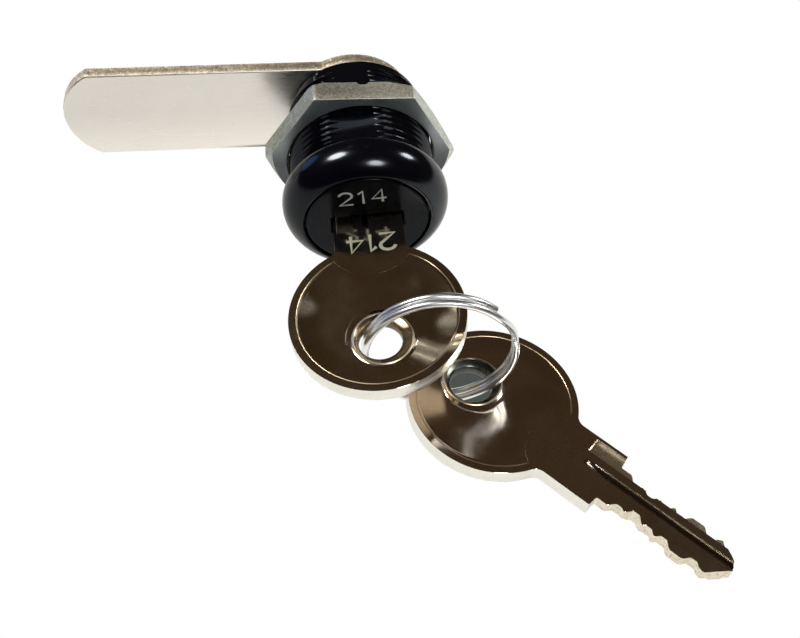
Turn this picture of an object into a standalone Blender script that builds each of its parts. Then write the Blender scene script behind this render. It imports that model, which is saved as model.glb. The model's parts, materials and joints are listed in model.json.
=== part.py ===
"""Cam lock, Ø19 mm: ball-head housing with a threaded double-D barrel, wafer plug,
straight cam, mounting nut, one key in the plug and a spare key on a split ring.

Frame: the lock's axis is Y and its face looks along -Y. +X is right, +Z is up, seen from
the front. The origin is at the rear end of the axis, in the floor of the cam screw's
recess. All the Y dimensions below start at the plane where the head seats on the panel.
Key frame: +X runs from the bow's centre to the tip, Z is the key's thickness.
"""
import math

import bmesh
import bpy
from mathutils import Matrix, Vector

MM = 0.001

# ---- driving dimensions, millimetres -------------------------------------------------
LOCK_TURN = math.radians(-6.0)     # housing, plug and key, turned against nut and cam
NUT_TURN = math.radians(1.0)

# housing
HEAD_FRONT = -5.0
HEAD_R = 10.7
HEAD_CREST = -1.4                  # the head is widest here
HEAD_REAR_R = 10.0                 # flat annulus that seats on the panel
ROOT_COLLAR_R = 9.45               # plain collar at the barrel's root, outside the thread
ROOT_COLLAR_END = 0.3
RIM_R = 8.35                       # inner lip of the head's rounded front
THREAD_R = 9.4
THREAD_ROOT_R = 8.85
THREAD_PITCH = 1.0
THREAD_START = 1.0
BARREL_END = 14.8
STOP_RIM_END = 15.35
FLAT_HALF = 8.6                    # barrel's double-D, half across flats
BORE_R = 6.6
SEAT_R = 8.15                      # counterbore for the plug's flange
SEAT_FLOOR = -2.9
GROOVE_HALF = 3.2                  # broached wafer grooves, four sides
GROOVE_R = 7.35
GROOVE_START = -1.2
STOP_GAP_FROM = -104.0             # gap in the rear rim, degrees from +X towards +Z
STOP_GAP_TO = 14.0

# plug
PLUG_FACE = -4.9
FLANGE_R = 7.87
FLANGE_REAR = -3.1
PLUG_R = 6.4
PLUG_END = 14.75
TAIL_HALF = 3.4
TAIL_CORNER_R = 4.4
TAIL_END = 17.0
SCREW_HOLE_R = 1.9

# key
BOW_R = 10.7
KEY_THICK = 2.1
HOLE_X = -3.5
HOLE_R = 2.7
HOLE_CHAMFER = 0.6
COLLAR_R = 3.5
DISH_R = 9.8
DISH_DEPTH = 0.25
NECK_HALF = 4.45
SHOULDER_X = 17.1
BLADE_HALF = 3.0
TIP_X = 34.2
CUT_FROM = 19.9                    # first bitting position, from the bow's centre
CUT_PITCH = 2.04
CUT_HALF = (2.1, 1.5, 2.1, 2.1, 3.0, 2.1)
KEY_Y = -20.11                     # bow centre of the key in the plug

# wafers
WAFER_HALF = 3.0
WAFER_R = 6.3
WAFER_THICK = 1.0
SLOT_THICK = 1.25
WINDOW_PLAY = 0.12
DROP = 0.8                         # sprung travel out of the plug
POCKET_TOP = 4.5                   # spring pocket above the wafer slot
POCKET_END = 2.3

# nut, cam and its fixing
NUT_AF = 22.0
NUT_THICK = 3.05
NUT_FRONT = 5.8
NUT_BORE_R = 9.6
NUT_MOUTH_R = 9.87
CAM_FRONT = 15.65
CAM_THICK = 1.6
CAM_EYE_R = 7.9
CAM_EYE_X = -0.5                   # the eye's outline is a little off the lock's axis
CAM_EYE_Z = 0.3
CAM_HALF = 7.1
CAM_TIP_X = -39.25
CAM_TIP_R = 8.4
CAM_BAR_FROM = -11.0               # the bar is free of the barrel from here on
EYE_RELIEF = 0.05                  # the eye's front face stands back from the bar's
WASHER_THICK = 0.8
PLAY = 0.12                        # between stacked pieces
SCREW_SEAT = CAM_FRONT + CAM_THICK + PLAY + WASHER_THICK + PLAY
RECESS_FLOOR = SCREW_SEAT + 0.75

# split ring and spare key
RING_R = 9.09
WIRE_R = 0.45
TURN_PITCH = 1.06
RING_CENTRE = Vector((7.334, -23.366, -2.755))
RING_NORMAL = Vector((-0.0567, -0.9927, 0.1066)).normalized()
SPARE_BOW = Vector((14.123, -26.823, -8.847))      # bow centre on the upper face
SPARE_YAW = math.radians(-45.02)
SPARE_PITCH = math.radians(0.76)
SPARE_ROLL = math.radians(-5.11)


# ---- scene and materials -------------------------------------------------------------
for old in list(bpy.data.objects):
    bpy.data.objects.remove(old, do_unlink=True)


def material(name, colour, roughness, metallic):
    mat = bpy.data.materials.new(name)
    mat.use_nodes = True
    shader = mat.node_tree.nodes["Principled BSDF"]
    shader.inputs["Base Color"].default_value = (*colour, 1.0)
    shader.inputs["Roughness"].default_value = roughness
    shader.inputs["Metallic"].default_value = metallic
    return mat


BLACK = material("black_enamel", (0.012, 0.013, 0.020), 0.28, 0.0)
PLUG_BLACK = material("plug_black", (0.014, 0.014, 0.019), 0.33, 0.0)
ZINC = material("zinc_nut", (0.50, 0.52, 0.50), 0.42, 1.0)
CAM_STEEL = material("cam_nickel", (0.74, 0.71, 0.67), 0.35, 1.0)
KEY_NICKEL = material("key_nickel", (0.62, 0.58, 0.50), 0.16, 1.0)
CHROME = material("ring_chrome", (0.80, 0.81, 0.83), 0.10, 1.0)
BRASS = material("wafer_brass", (0.72, 0.55, 0.27), 0.35, 1.0)
SPRING_STEEL = material("spring_steel", (0.55, 0.56, 0.58), 0.30, 1.0)
SCREW_ZINC = material("screw_zinc", (0.60, 0.58, 0.50), 0.35, 1.0)


# ---- mesh helpers --------------------------------------------------------------------
def to_metres(bm):
    bmesh.ops.scale(bm, vec=(MM, MM, MM), verts=bm.verts)
    bmesh.ops.recalc_face_normals(bm, faces=bm.faces)


def add_object(name, bm, mat, parent=None, sharp=35.0):
    """Turn a bmesh in millimetres into a named object."""
    to_metres(bm)
    mesh = bpy.data.meshes.new(name)
    bm.to_mesh(mesh)
    bm.free()
    if mat is not None:
        mesh.materials.append(mat)
    mesh.shade_smooth()
    mesh.set_sharp_from_angle(angle=math.radians(sharp))
    obj = bpy.data.objects.new(name, mesh)
    bpy.context.scene.collection.objects.link(obj)
    obj.parent = parent
    return obj


def add_empty(name, location=(0, 0, 0), rotation=None, parent=None):
    empty = bpy.data.objects.new(name, None)
    bpy.context.scene.collection.objects.link(empty)
    empty.parent = parent
    empty.location = Vector(location) * MM
    if rotation is not None:
        empty.rotation_mode = "QUATERNION"
        empty.rotation_quaternion = rotation
    return empty


def boolean(obj, bm, name, operation="DIFFERENCE"):
    """Cut a bmesh out of an object, or join it on, with a hidden cutter beside it."""
    tool = add_object("tool_" + name, bm, None, obj.parent)
    tool.hide_render = True
    tool.display_type = "WIRE"
    mod = obj.modifiers.new(name, "BOOLEAN")
    mod.operation = operation
    mod.solver = "EXACT"
    mod.object = tool
    return mod


def turned(profile, segments, start=0.0):
    """Spin a closed (radius, y) profile round the Y axis; radius 0 makes a pole."""
    bm = bmesh.new()
    rings = []
    for radius, y in profile:
        if radius == 0.0:
            rings.append([bm.verts.new((0.0, y, 0.0))])
            continue
        ring = []
        for k in range(segments):
            angle = start + 2.0 * math.pi * k / segments
            ring.append(bm.verts.new((radius * math.cos(angle), y, radius * math.sin(angle))))
        rings.append(ring)
    for i, here in enumerate(rings):
        there = rings[(i + 1) % len(rings)]
        for k in range(segments):
            corners = [here[k % len(here)], here[(k + 1) % len(here)],
                       there[(k + 1) % len(there)], there[k % len(there)]]
            corners = list(dict.fromkeys(corners))
            if len(corners) > 2:
                bm.faces.new(corners)
    return bm


def prism(outline, low, high, axis="Z"):
    """Extrude a 2-D outline between two heights along Z, or along Y for X-Z outlines."""
    bm = bmesh.new()
    if axis == "Z":
        base = [bm.verts.new((a, b, low)) for a, b in outline]
        rise = (0.0, 0.0, high - low)
    else:
        base = [bm.verts.new((a, low, b)) for a, b in outline]
        rise = (0.0, high - low, 0.0)
    face = bm.faces.new(base)
    extruded = bmesh.ops.extrude_face_region(bm, geom=[face])
    moved = [e for e in extruded["geom"] if isinstance(e, bmesh.types.BMVert)]
    bmesh.ops.translate(bm, vec=rise, verts=moved)
    return bm


def block(x0, x1, y0, y1, z0, z1):
    return prism([(x0, y0), (x1, y0), (x1, y1), (x0, y1)], z0, z1)


def merge(target, source):
    """Add a separate closed shape to a cutter that holds several."""
    mesh = bpy.data.meshes.new("scratch")
    source.to_mesh(mesh)
    source.free()
    target.from_mesh(mesh)
    bpy.data.meshes.remove(mesh)
    return target


def arc(cx, cy, radius, from_deg, to_deg, count):
    points = []
    for k in range(count + 1):
        angle = math.radians(from_deg + (to_deg - from_deg) * k / count)
        points.append((cx + radius * math.cos(angle), cy + radius * math.sin(angle)))
    return points


def tube(path, radius, sides):
    """Sweep a round section along a path and close both ends."""
    bm = bmesh.new()
    rings = []
    normal = None
    for i, point in enumerate(path):
        ahead = path[min(i + 1, len(path) - 1)]
        behind = path[max(i - 1, 0)]
        tangent = (ahead - behind).normalized()
        if normal is None:
            normal = tangent.orthogonal().normalized()
        normal = (normal - tangent * normal.dot(tangent)).normalized()
        side = tangent.cross(normal)
        ring = []
        for k in range(sides):
            angle = 2.0 * math.pi * k / sides
            offset = normal * math.cos(angle) + side * math.sin(angle)
            ring.append(bm.verts.new(point + offset * radius))
        rings.append(ring)
    for here, there in zip(rings, rings[1:]):
        for k in range(sides):
            n = (k + 1) % sides
            bm.faces.new((here[k], here[n], there[n], there[k]))
    bm.faces.new(rings[0])
    bm.faces.new(rings[-1])
    return bm


# ---- empties: the lock's axis and the moving frames ----------------------------------
seat_plane = add_empty("seat_plane", (0, -RECESS_FLOOR, 0))
lock_frame = add_empty("lock_frame", (0, 0, 0),
                       Matrix.Rotation(LOCK_TURN, 3, "Y").to_quaternion(), seat_plane)
plug_axis = add_empty("plug_axis", parent=lock_frame)
cam_axis = add_empty("cam_axis", parent=seat_plane)
nut_axis = add_empty("nut_axis", (0, NUT_FRONT, 0),
                     Matrix.Rotation(NUT_TURN, 3, "Y").to_quaternion(), seat_plane)


# ---- housing -------------------------------------------------------------------------
def head_profile():
    """Outside of the head from the panel face round to the front lip."""
    points = [(HEAD_REAR_R, 0.0), (10.42, -0.32), (10.64, -0.8), (HEAD_R, HEAD_CREST)]
    reach = HEAD_FRONT - HEAD_CREST
    for k in range(1, 7):
        along = k / 6.0
        radius = RIM_R + (HEAD_R - RIM_R) * (1.0 - along ** 2.35) ** 0.80
        points.append((radius if k < 6 else RIM_R, HEAD_CREST + reach * along))
    return points


def thread_profile(first, last):
    """Ridges at the thread's pitch between two heights."""
    points = []
    y = first
    while y + THREAD_PITCH <= last + 1e-6:
        points.append((THREAD_ROOT_R, y))
        points.append((THREAD_R, y + 0.50 * THREAD_PITCH))
        y += THREAD_PITCH
    points.append((THREAD_ROOT_R, y))
    return points


def build_housing():
    outside = [(ROOT_COLLAR_R, 0.0), (ROOT_COLLAR_R, ROOT_COLLAR_END), (THREAD_ROOT_R, 0.7)]
    outside += thread_profile(THREAD_START, BARREL_END - 0.5)
    outside += [(THREAD_ROOT_R, BARREL_END), (THREAD_ROOT_R - 0.15, STOP_RIM_END)]
    profile = [(SEAT_R, HEAD_FRONT), (SEAT_R, SEAT_FLOOR), (BORE_R, SEAT_FLOOR)]
    profile += [(BORE_R, BARREL_END), (7.75, BARREL_END), (7.75, STOP_RIM_END)]
    profile += list(reversed(outside))
    profile += head_profile()
    housing = add_object("housing", turned(profile, 48, math.pi / 48), BLACK, lock_frame)

    flats = block(-12, 12, 0.02, 20, FLAT_HALF, 12)
    merge(flats, block(-12, 12, 0.02, 20, -12, -FLAT_HALF))
    boolean(housing, flats, "barrel_flats")

    across = block(-GROOVE_R, GROOVE_R, GROOVE_START, 20, -GROOVE_HALF, GROOVE_HALF)
    boolean(housing, across, "grooves_across")
    upright = block(-GROOVE_HALF, GROOVE_HALF, GROOVE_START, 20, -GROOVE_R, GROOVE_R)
    boolean(housing, upright, "grooves_upright")

    gap = arc(0, 0, 7.0, STOP_GAP_FROM, STOP_GAP_TO, 12)
    gap += list(reversed(arc(0, 0, 11.0, STOP_GAP_FROM, STOP_GAP_TO, 12)))
    boolean(housing, prism(gap, BARREL_END + 0.003, 20, "Y"), "stop_gap")
    return housing


# ---- plug ----------------------------------------------------------------------------
def wafer_y(index):
    return KEY_Y + CUT_FROM + CUT_PITCH * index


def build_plug():
    profile = [(0.0, PLUG_FACE), (FLANGE_R - 0.15, PLUG_FACE), (FLANGE_R, PLUG_FACE + 0.15),
               (FLANGE_R, FLANGE_REAR), (PLUG_R, FLANGE_REAR), (PLUG_R, PLUG_END - 0.3),
               (PLUG_R - 0.3, PLUG_END), (0.0, PLUG_END)]
    bm = turned(profile, 48, math.pi / 48)
    plug = add_object("plug", bm, PLUG_BLACK, plug_axis)
    boolean(plug, prism(tail_outline(0.0), PLUG_END - 0.5, TAIL_END, "Y"), "tail", "UNION")

    mouth = block(-NECK_HALF - 0.2, NECK_HALF + 0.2, PLUG_FACE - 1, KEY_Y + SHOULDER_X + 0.25,
                  -KEY_THICK / 2 - 0.17, KEY_THICK / 2 + 0.17)
    boolean(plug, mouth, "neck_slot")
    keyway = block(-BLADE_HALF - 0.2, BLADE_HALF + 0.2, PLUG_FACE - 1, KEY_Y + TIP_X + 0.3,
                   -KEY_THICK / 2 - 0.17, KEY_THICK / 2 + 0.17)
    boolean(plug, keyway, "keyway")

    slots = None
    for i in range(len(CUT_HALF)):
        side = 1 if i % 2 == 0 else -1
        y0 = wafer_y(i) - SLOT_THICK / 2
        y1 = wafer_y(i) + SLOT_THICK / 2
        outline = [(-8, -WAFER_HALF - 0.15), (8, -WAFER_HALF - 0.15), (8, WAFER_HALF + 0.15),
                   (POCKET_END, WAFER_HALF + 0.15), (POCKET_END, POCKET_TOP),
                   (-POCKET_END, POCKET_TOP), (-POCKET_END, WAFER_HALF + 0.15),
                   (-8, WAFER_HALF + 0.15)]
        shape = prism([(side * x, side * z) for x, z in outline], y0, y1, "Y")
        slots = shape if slots is None else merge(slots, shape)
    boolean(plug, slots, "wafer_slots")

    hole = turned([(0.0, TAIL_END + 1), (SCREW_HOLE_R, TAIL_END + 1),
                   (SCREW_HOLE_R, KEY_Y + TIP_X + 0.1), (0.0, KEY_Y + TIP_X + 0.1)], 20)
    boolean(plug, hole, "screw_hole")
    return plug


def tail_outline(play):
    """Square tail with its corners turned down to a circle."""
    half = TAIL_HALF + play
    corner = TAIL_CORNER_R + play
    start = math.degrees(math.acos(half / corner))
    points = []
    for quarter in range(4):
        base = 90.0 * quarter
        points += arc(0, 0, corner, base + start, base + 90.0 - start, 3)
    return points


# ---- keys ----------------------------------------------------------------------------
def blade_half_at(x):
    """Half width of the bitted blade: flats at each cut, 45 degree flanks between."""
    half = BLADE_HALF
    for i, cut in enumerate(CUT_HALF):
        offset = abs(x - (CUT_FROM + CUT_PITCH * i)) - 0.42
        half = min(half, max(cut, cut + max(offset, 0.0) * 1.25))
    return half


def key_outline():
    upper = []
    blend = 1.2
    root = math.sqrt(BOW_R ** 2 - (NECK_HALF + blend) ** 2)
    start = math.degrees(math.atan2(NECK_HALF + blend, root))
    bow = arc(0, 0, BOW_R, start, 360.0 - start, 44)
    neck_y = NECK_HALF
    upper.append((root + 0.55, NECK_HALF + 0.35))
    upper.append((root + 1.3, neck_y))
    upper.append((SHOULDER_X, neck_y))
    upper.append((SHOULDER_X + 0.15, BLADE_HALF))
    steps = 36
    for k in range(1, steps):
        x = SHOULDER_X + 0.6 + (31.1 - SHOULDER_X - 0.6) * k / steps
        upper.append((x, blade_half_at(x)))
    upper.append((31.45, 2.85))
    upper.append((32.3, 2.0))
    upper.append((33.3, 1.35))
    upper.append((TIP_X - 0.1, 0.5))
    lower = [(x, -y) for x, y in reversed(upper[:-4])]
    tip = [(TIP_X, -0.3), (TIP_X - 0.35, -0.55), (31.6, -2.8)]
    outline = bow + lower_neck_first(lower) + list(reversed(tip)) + list(reversed(upper))
    return outline


def lower_neck_first(points):
    """The lower side runs from the bow out to the tip."""
    return sorted(points, key=lambda p: p[0])


def build_key(name, parent):
    half = KEY_THICK / 2
    key = add_object(name, prism(key_outline(), -half, half), KEY_NICKEL, parent)

    inner = HOLE_R
    outer = HOLE_R + HOLE_CHAMFER
    profile = [(0.0, -half - 0.4), (outer + 0.4, -half - 0.4), (inner, -half + HOLE_CHAMFER),
               (inner, half - HOLE_CHAMFER), (outer + 0.4, half + 0.4), (0.0, half + 0.4)]
    hole = turned(profile, 32)
    bmesh.ops.rotate(hole, cent=(0, 0, 0), verts=hole.verts,
                     matrix=Matrix.Rotation(math.radians(90), 3, "X"))
    bmesh.ops.translate(hole, vec=(HOLE_X, 0, 0), verts=hole.verts)
    boolean(key, hole, name + "_hole")

    for label, low, high in (("top", half - DISH_DEPTH, half + 1), ("bottom", -half - 1, DISH_DEPTH - half)):
        boolean(key, dish_cutter(low, high), name + "_dish_" + label)

    ward = block(12.9, 40, 1.85, NECK_HALF - 0.45, half - 0.6, half + 1)
    merge(ward, block(12.9, 40, 0.45 - NECK_HALF, -1.85, -half - 1, 0.6 - half))
    boolean(key, ward, name + "_wards")
    groove = prism([(13.8, 0.45), (14.4, 0.85), (40, 0.85), (40, -0.15), (14.4, -0.15)],
                   half - 0.45, half + 1)
    merge(groove, prism([(13.8, -0.45), (14.4, 0.15), (40, 0.15), (40, -0.85), (14.4, -0.85)],
                        -half - 1, 0.45 - half))
    boolean(key, groove, name + "_grooves")
    return key


def dish_cutter(low, high):
    """Shallow round dish that stops at the flat neck and leaves a collar at the hole."""
    neck_cx, neck_r = 11.6, 5.6
    reach = (DISH_R ** 2 - neck_r ** 2 + neck_cx ** 2) / (2 * neck_cx)
    rise = math.sqrt(DISH_R ** 2 - reach ** 2)
    start = math.degrees(math.atan2(rise, reach))
    back = math.degrees(math.atan2(rise, reach - neck_cx))
    outline = arc(0, 0, DISH_R, start, 360.0 - start, 36)
    outline += arc(neck_cx, 0, neck_r, 360.0 - back, back, 10)[1:-1]
    inner = list(reversed(arc(HOLE_X, 0, COLLAR_R, -180.0, 180.0, 24)[:-1]))
    bm = bmesh.new()
    loops = []
    for points in (outline, inner):
        low_ring = [bm.verts.new((x, y, low)) for x, y in points]
        high_ring = [bm.verts.new((x, y, high)) for x, y in points]
        count = len(points)
        for k in range(count):
            n = (k + 1) % count
            bm.faces.new((low_ring[k], low_ring[n], high_ring[n], high_ring[k]))
        loops.append((low_ring, high_ring))
    for level in (0, 1):
        edges = []
        for pair in loops:
            ring = pair[level]
            for k in range(len(ring)):
                edges.append(bm.edges.get((ring[k], ring[(k + 1) % len(ring)])))
        bmesh.ops.triangle_fill(bm, use_beauty=True, use_dissolve=False, edges=edges)
    return bm


# ---- wafers and springs --------------------------------------------------------------
def build_wafer(index, parent):
    """Flat wafer with a window for the key and a lug for its spring."""
    side = 1 if index % 2 == 0 else -1
    cut = CUT_HALF[index]
    bearing = max(BLADE_HALF, cut + DROP - 0.1) + WINDOW_PLAY
    far = BLADE_HALF + WINDOW_PLAY
    reach = math.degrees(math.asin(WAFER_HALF / WAFER_R))
    outline = arc(0, 0, WAFER_R, -reach, reach, 8)
    lug = [(0.85, WAFER_HALF), (0.85, POCKET_TOP - 0.15), (0.15, POCKET_TOP - 0.15), (0.15, WAFER_HALF)]
    outline += lug
    outline += arc(0, 0, WAFER_R, 180.0 - reach, 180.0 + reach, 8)
    shape = [(side * x, side * z) for x, z in outline]
    low = wafer_y(index) - WAFER_THICK / 2
    high = wafer_y(index) + WAFER_THICK / 2
    wafer = add_object("wafer_%d" % (index + 1), prism(shape, low, high, "Y"), BRASS, parent)
    window_z = KEY_THICK / 2 + 0.2
    xs = sorted((-side * bearing, side * far))
    window = block(xs[0], xs[1], low - 1, high + 1, -window_z, window_z)
    boolean(wafer, window, "window_%d" % (index + 1))
    return wafer


def build_spring(index, parent):
    """Small coil between the pocket's end and the wafer's lug."""
    side = 1 if index % 2 == 0 else -1
    turns, per_turn = 4.0, 7
    x0, x1 = -POCKET_END + 0.22, 0.15 - 0.22
    centre_z = (WAFER_HALF + 0.15 + POCKET_TOP) / 2
    path = []
    count = int(turns * per_turn)
    for k in range(count + 1):
        angle = 2.0 * math.pi * turns * k / count
        x = x0 + (x1 - x0) * k / count
        y = wafer_y(index) + 0.36 * math.cos(angle)
        z = centre_z + 0.36 * math.sin(angle)
        path.append(Vector((side * x, y, side * z)))
    return add_object("wafer_spring_%d" % (index + 1), tube(path, 0.1, 4), SPRING_STEEL, parent)


# ---- nut, cam and fixing -------------------------------------------------------------
def build_nut():
    corner = NUT_AF / math.sqrt(3.0)
    hexagon = [(corner * math.cos(math.radians(60 * k)), corner * math.sin(math.radians(60 * k)))
               for k in range(6)]
    nut = add_object("mounting_nut", prism(hexagon, 0.0, NUT_THICK, "Y"), ZINC, nut_axis)
    bore = turned([(0.0, -1.0), (NUT_MOUTH_R + 1.0, -1.0), (NUT_MOUTH_R, 0.0), (NUT_BORE_R, 0.27),
                   (NUT_BORE_R, NUT_THICK - 0.27), (NUT_MOUTH_R, NUT_THICK),
                   (NUT_MOUTH_R + 1.0, NUT_THICK + 1.0), (0.0, NUT_THICK + 1.0)], 56)
    boolean(nut, bore, "nut_bore")
    flat = NUT_AF / 2
    collar = turned([(16.0, NUT_THICK + 1.0), (flat - 0.7, NUT_THICK + 1.0),
                     (flat + 0.35, NUT_THICK), (16.0, NUT_THICK - 2.7)], 48)
    boolean(nut, collar, "nut_chamfer")
    notch = turned([(0.0, -0.5), (0.75, -0.5), (0.75, 0.5), (0.0, 0.5)], 12)
    bmesh.ops.rotate(notch, cent=(0, 0, 0), verts=notch.verts,
                     matrix=Matrix.Rotation(math.radians(90), 3, "X"))
    bmesh.ops.scale(notch, vec=(1.0, 0.6, 4.0), verts=notch.verts)
    bmesh.ops.translate(notch, vec=(0, NUT_THICK, 12.2), verts=notch.verts)
    boolean(nut, notch, "nut_notch")
    return nut


def build_cam():
    upper = 180.0 - math.degrees(math.asin((CAM_HALF - CAM_EYE_Z) / CAM_EYE_R))
    lower = 180.0 - math.degrees(math.asin((CAM_HALF + CAM_EYE_Z) / CAM_EYE_R))
    eye = arc(CAM_EYE_X, CAM_EYE_Z, CAM_EYE_R, -lower, upper, 30)
    spread = math.degrees(math.asin(CAM_HALF / CAM_TIP_R))
    tip = arc(CAM_TIP_X + CAM_TIP_R, 0, CAM_TIP_R, 180.0 - spread, 180.0 + spread, 16)
    bm = prism(eye + tip, CAM_FRONT, CAM_FRONT + CAM_THICK, "Y")
    cam = add_object("cam", bm, CAM_STEEL, cam_axis)
    eye_hole = prism(tail_outline(0.2), CAM_FRONT - 1, CAM_FRONT + CAM_THICK + 1, "Y")
    bmesh.ops.rotate(eye_hole, cent=(0, 0, 0), verts=eye_hole.verts,
                     matrix=Matrix.Rotation(LOCK_TURN, 3, "Y"))
    boolean(cam, eye_hole, "cam_eye")
    relief = block(CAM_BAR_FROM, 12, CAM_FRONT - 1, CAM_FRONT + EYE_RELIEF, -12, 12)
    boolean(cam, relief, "eye_relief")
    return cam


def build_stop_washer():
    """Washer on the square tail; its tab swings in the gap of the housing's rear rim."""
    outline = arc(0, 0, 7.55, 10.0, 350.0, 44)
    outline += [(8.7 * math.cos(math.radians(a)), 8.7 * math.sin(math.radians(a))) for a in (-9, 0, 9)]
    bm = prism(outline, BARREL_END + PLAY, BARREL_END + PLAY + 0.55, "Y")
    washer = add_object("stop_washer", bm, ZINC, plug_axis)
    boolean(washer, prism(tail_outline(0.2), BARREL_END - 1, BARREL_END + 2, "Y"), "washer_eye")
    return washer


def build_spring_washer():
    """Split washer under the screw's head, its ends slightly apart."""
    y0 = CAM_FRONT + CAM_THICK + PLAY
    outline = arc(0, 0, 3.7, 6.0, 354.0, 30) + list(reversed(arc(0, 0, 2.25, 10.0, 350.0, 30)))
    bm = prism(outline, y0, y0 + WASHER_THICK, "Y")
    return add_object("spring_washer", bm, SPRING_STEEL, plug_axis)


def build_screw():
    seat = SCREW_SEAT
    tip = KEY_Y + TIP_X + 0.65
    profile = [(0.0, seat + 2.05), (1.7, seat + 1.95), (3.1, seat + 1.6), (3.85, seat + 1.0),
               (4.05, seat + 0.35), (4.05, seat), (1.65, seat), (1.65, tip + 0.4),
               (1.2, tip), (0.0, tip)]
    screw = add_object("cam_screw", turned(profile, 32), SCREW_ZINC, plug_axis)
    long, half = 1.9, 0.38
    quarter = [(long, -half), (long, half), (half, half)]
    cross = []
    for turn in ((1, 0), (0, 1), (-1, 0), (0, -1)):
        cross += [(x * turn[0] - z * turn[1], x * turn[1] + z * turn[0]) for x, z in quarter]
    boolean(screw, prism(cross, RECESS_FLOOR, seat + 3, "Y"), "cross_recess")
    return screw


# ---- split ring ----------------------------------------------------------------------
def build_ring(parent):
    """Two turns of wire side by side, crossing over between the two free ends."""
    first, last, cross_from = 48.0, 48.0 + 682.0, 48.0 + 322.0
    path = []
    count = 84
    for k in range(count + 1):
        degrees = first + (last - first) * k / count
        blend = min(max((degrees - cross_from) / 38.0, 0.0), 1.0)
        blend = blend * blend * (3.0 - 2.0 * blend)
        offset = TURN_PITCH * (blend - 0.5)
        angle = math.radians(degrees)
        path.append(Vector((RING_R * math.cos(angle), RING_R * math.sin(angle), offset)))
    return add_object("split_ring", tube(path, WIRE_R, 8), CHROME, parent)


# ---- assembly ------------------------------------------------------------------------
build_housing()
build_plug()
build_stop_washer()
build_spring_washer()
build_screw()
build_cam()
build_nut()

key_frame = add_empty("key_slide", (0, KEY_Y, 0),
                      Matrix.Rotation(math.radians(90), 3, "Z").to_quaternion(), plug_axis)
build_key("key_in_lock", key_frame)

for wafer_index in range(len(CUT_HALF)):
    build_wafer(wafer_index, plug_axis)
    build_spring(wafer_index, plug_axis)

ring_right = (Vector((1, 0, 0)) - RING_NORMAL * RING_NORMAL.x).normalized()
ring_up = RING_NORMAL.cross(ring_right)
ring_basis = Matrix((ring_right, ring_up, RING_NORMAL)).transposed()
ring_frame = add_empty("ring_axis", RING_CENTRE, ring_basis.to_quaternion(), seat_plane)
build_ring(ring_frame)

spare_turn = (Matrix.Rotation(SPARE_YAW, 3, "Z") @ Matrix.Rotation(SPARE_PITCH, 3, "Y")
              @ Matrix.Rotation(SPARE_ROLL, 3, "X"))
spare_place = SPARE_BOW - spare_turn @ Vector((0, 0, KEY_THICK / 2))
spare_frame = add_empty("spare_key_frame", spare_place, spare_turn.to_quaternion(), seat_plane)
build_key("spare_key", spare_frame)
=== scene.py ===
"""Cam lock with two keys on a split ring: the visual model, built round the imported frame.

Shapes are modelled in millimetres in four local frames, and placed by an object matrix:
  lock: housing, plug and what rides on it; the lock's axis is Y, y = 0 where the head seats
  seat: nut and cam; the same frame, without the turn of the lock
  key:  +X from the bow's centre to the tip, Z is the thickness, the upper face at +Z
  ring: Z is the axis of the split ring
"""
import json
import math

import bmesh
import bpy
from mathutils import Matrix, Vector, noise


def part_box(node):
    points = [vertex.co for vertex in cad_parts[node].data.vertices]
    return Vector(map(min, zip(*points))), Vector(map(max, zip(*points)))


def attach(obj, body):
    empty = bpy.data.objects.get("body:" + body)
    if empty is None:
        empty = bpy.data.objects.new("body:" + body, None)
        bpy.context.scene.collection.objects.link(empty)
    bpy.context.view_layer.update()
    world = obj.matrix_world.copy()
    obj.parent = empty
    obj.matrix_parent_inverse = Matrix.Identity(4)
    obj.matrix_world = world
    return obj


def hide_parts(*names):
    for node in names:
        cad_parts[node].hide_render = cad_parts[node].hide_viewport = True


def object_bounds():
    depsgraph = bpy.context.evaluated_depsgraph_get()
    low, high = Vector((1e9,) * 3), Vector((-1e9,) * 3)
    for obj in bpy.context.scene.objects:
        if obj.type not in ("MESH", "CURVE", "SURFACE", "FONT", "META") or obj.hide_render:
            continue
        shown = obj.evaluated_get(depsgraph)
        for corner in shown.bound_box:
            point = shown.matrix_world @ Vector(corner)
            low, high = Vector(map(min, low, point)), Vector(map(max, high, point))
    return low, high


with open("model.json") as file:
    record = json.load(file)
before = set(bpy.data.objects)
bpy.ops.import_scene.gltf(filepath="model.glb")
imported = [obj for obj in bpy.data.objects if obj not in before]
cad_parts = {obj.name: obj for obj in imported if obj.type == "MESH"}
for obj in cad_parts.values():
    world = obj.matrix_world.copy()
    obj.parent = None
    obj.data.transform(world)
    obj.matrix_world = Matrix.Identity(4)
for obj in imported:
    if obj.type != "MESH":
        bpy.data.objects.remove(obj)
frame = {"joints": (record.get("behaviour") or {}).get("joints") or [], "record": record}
cad_low, cad_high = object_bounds()

MM = 0.001
TAU = 2.0 * math.pi
QUARTER = 0.5 * math.pi


def box_mm(node):
    low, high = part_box(node)
    return low / MM, high / MM


def spin(angle, axis):
    return Matrix.Rotation(angle, 3, axis)


# ---- sizes from the frame ----
joints = {joint["name"]: joint for joint in frame["joints"]}
mounts = {mount["name"]: mount for mount in frame["record"]["mounts"]}
SEAT_Y = mounts["panel_seat"]["pos_m"][1] / MM


def along_axis(node):
    """Where a piece begins and ends along the lock's axis, from where the head seats."""
    low, high = box_mm(node)
    return low.y - SEAT_Y, high.y - SEAT_Y


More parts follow.
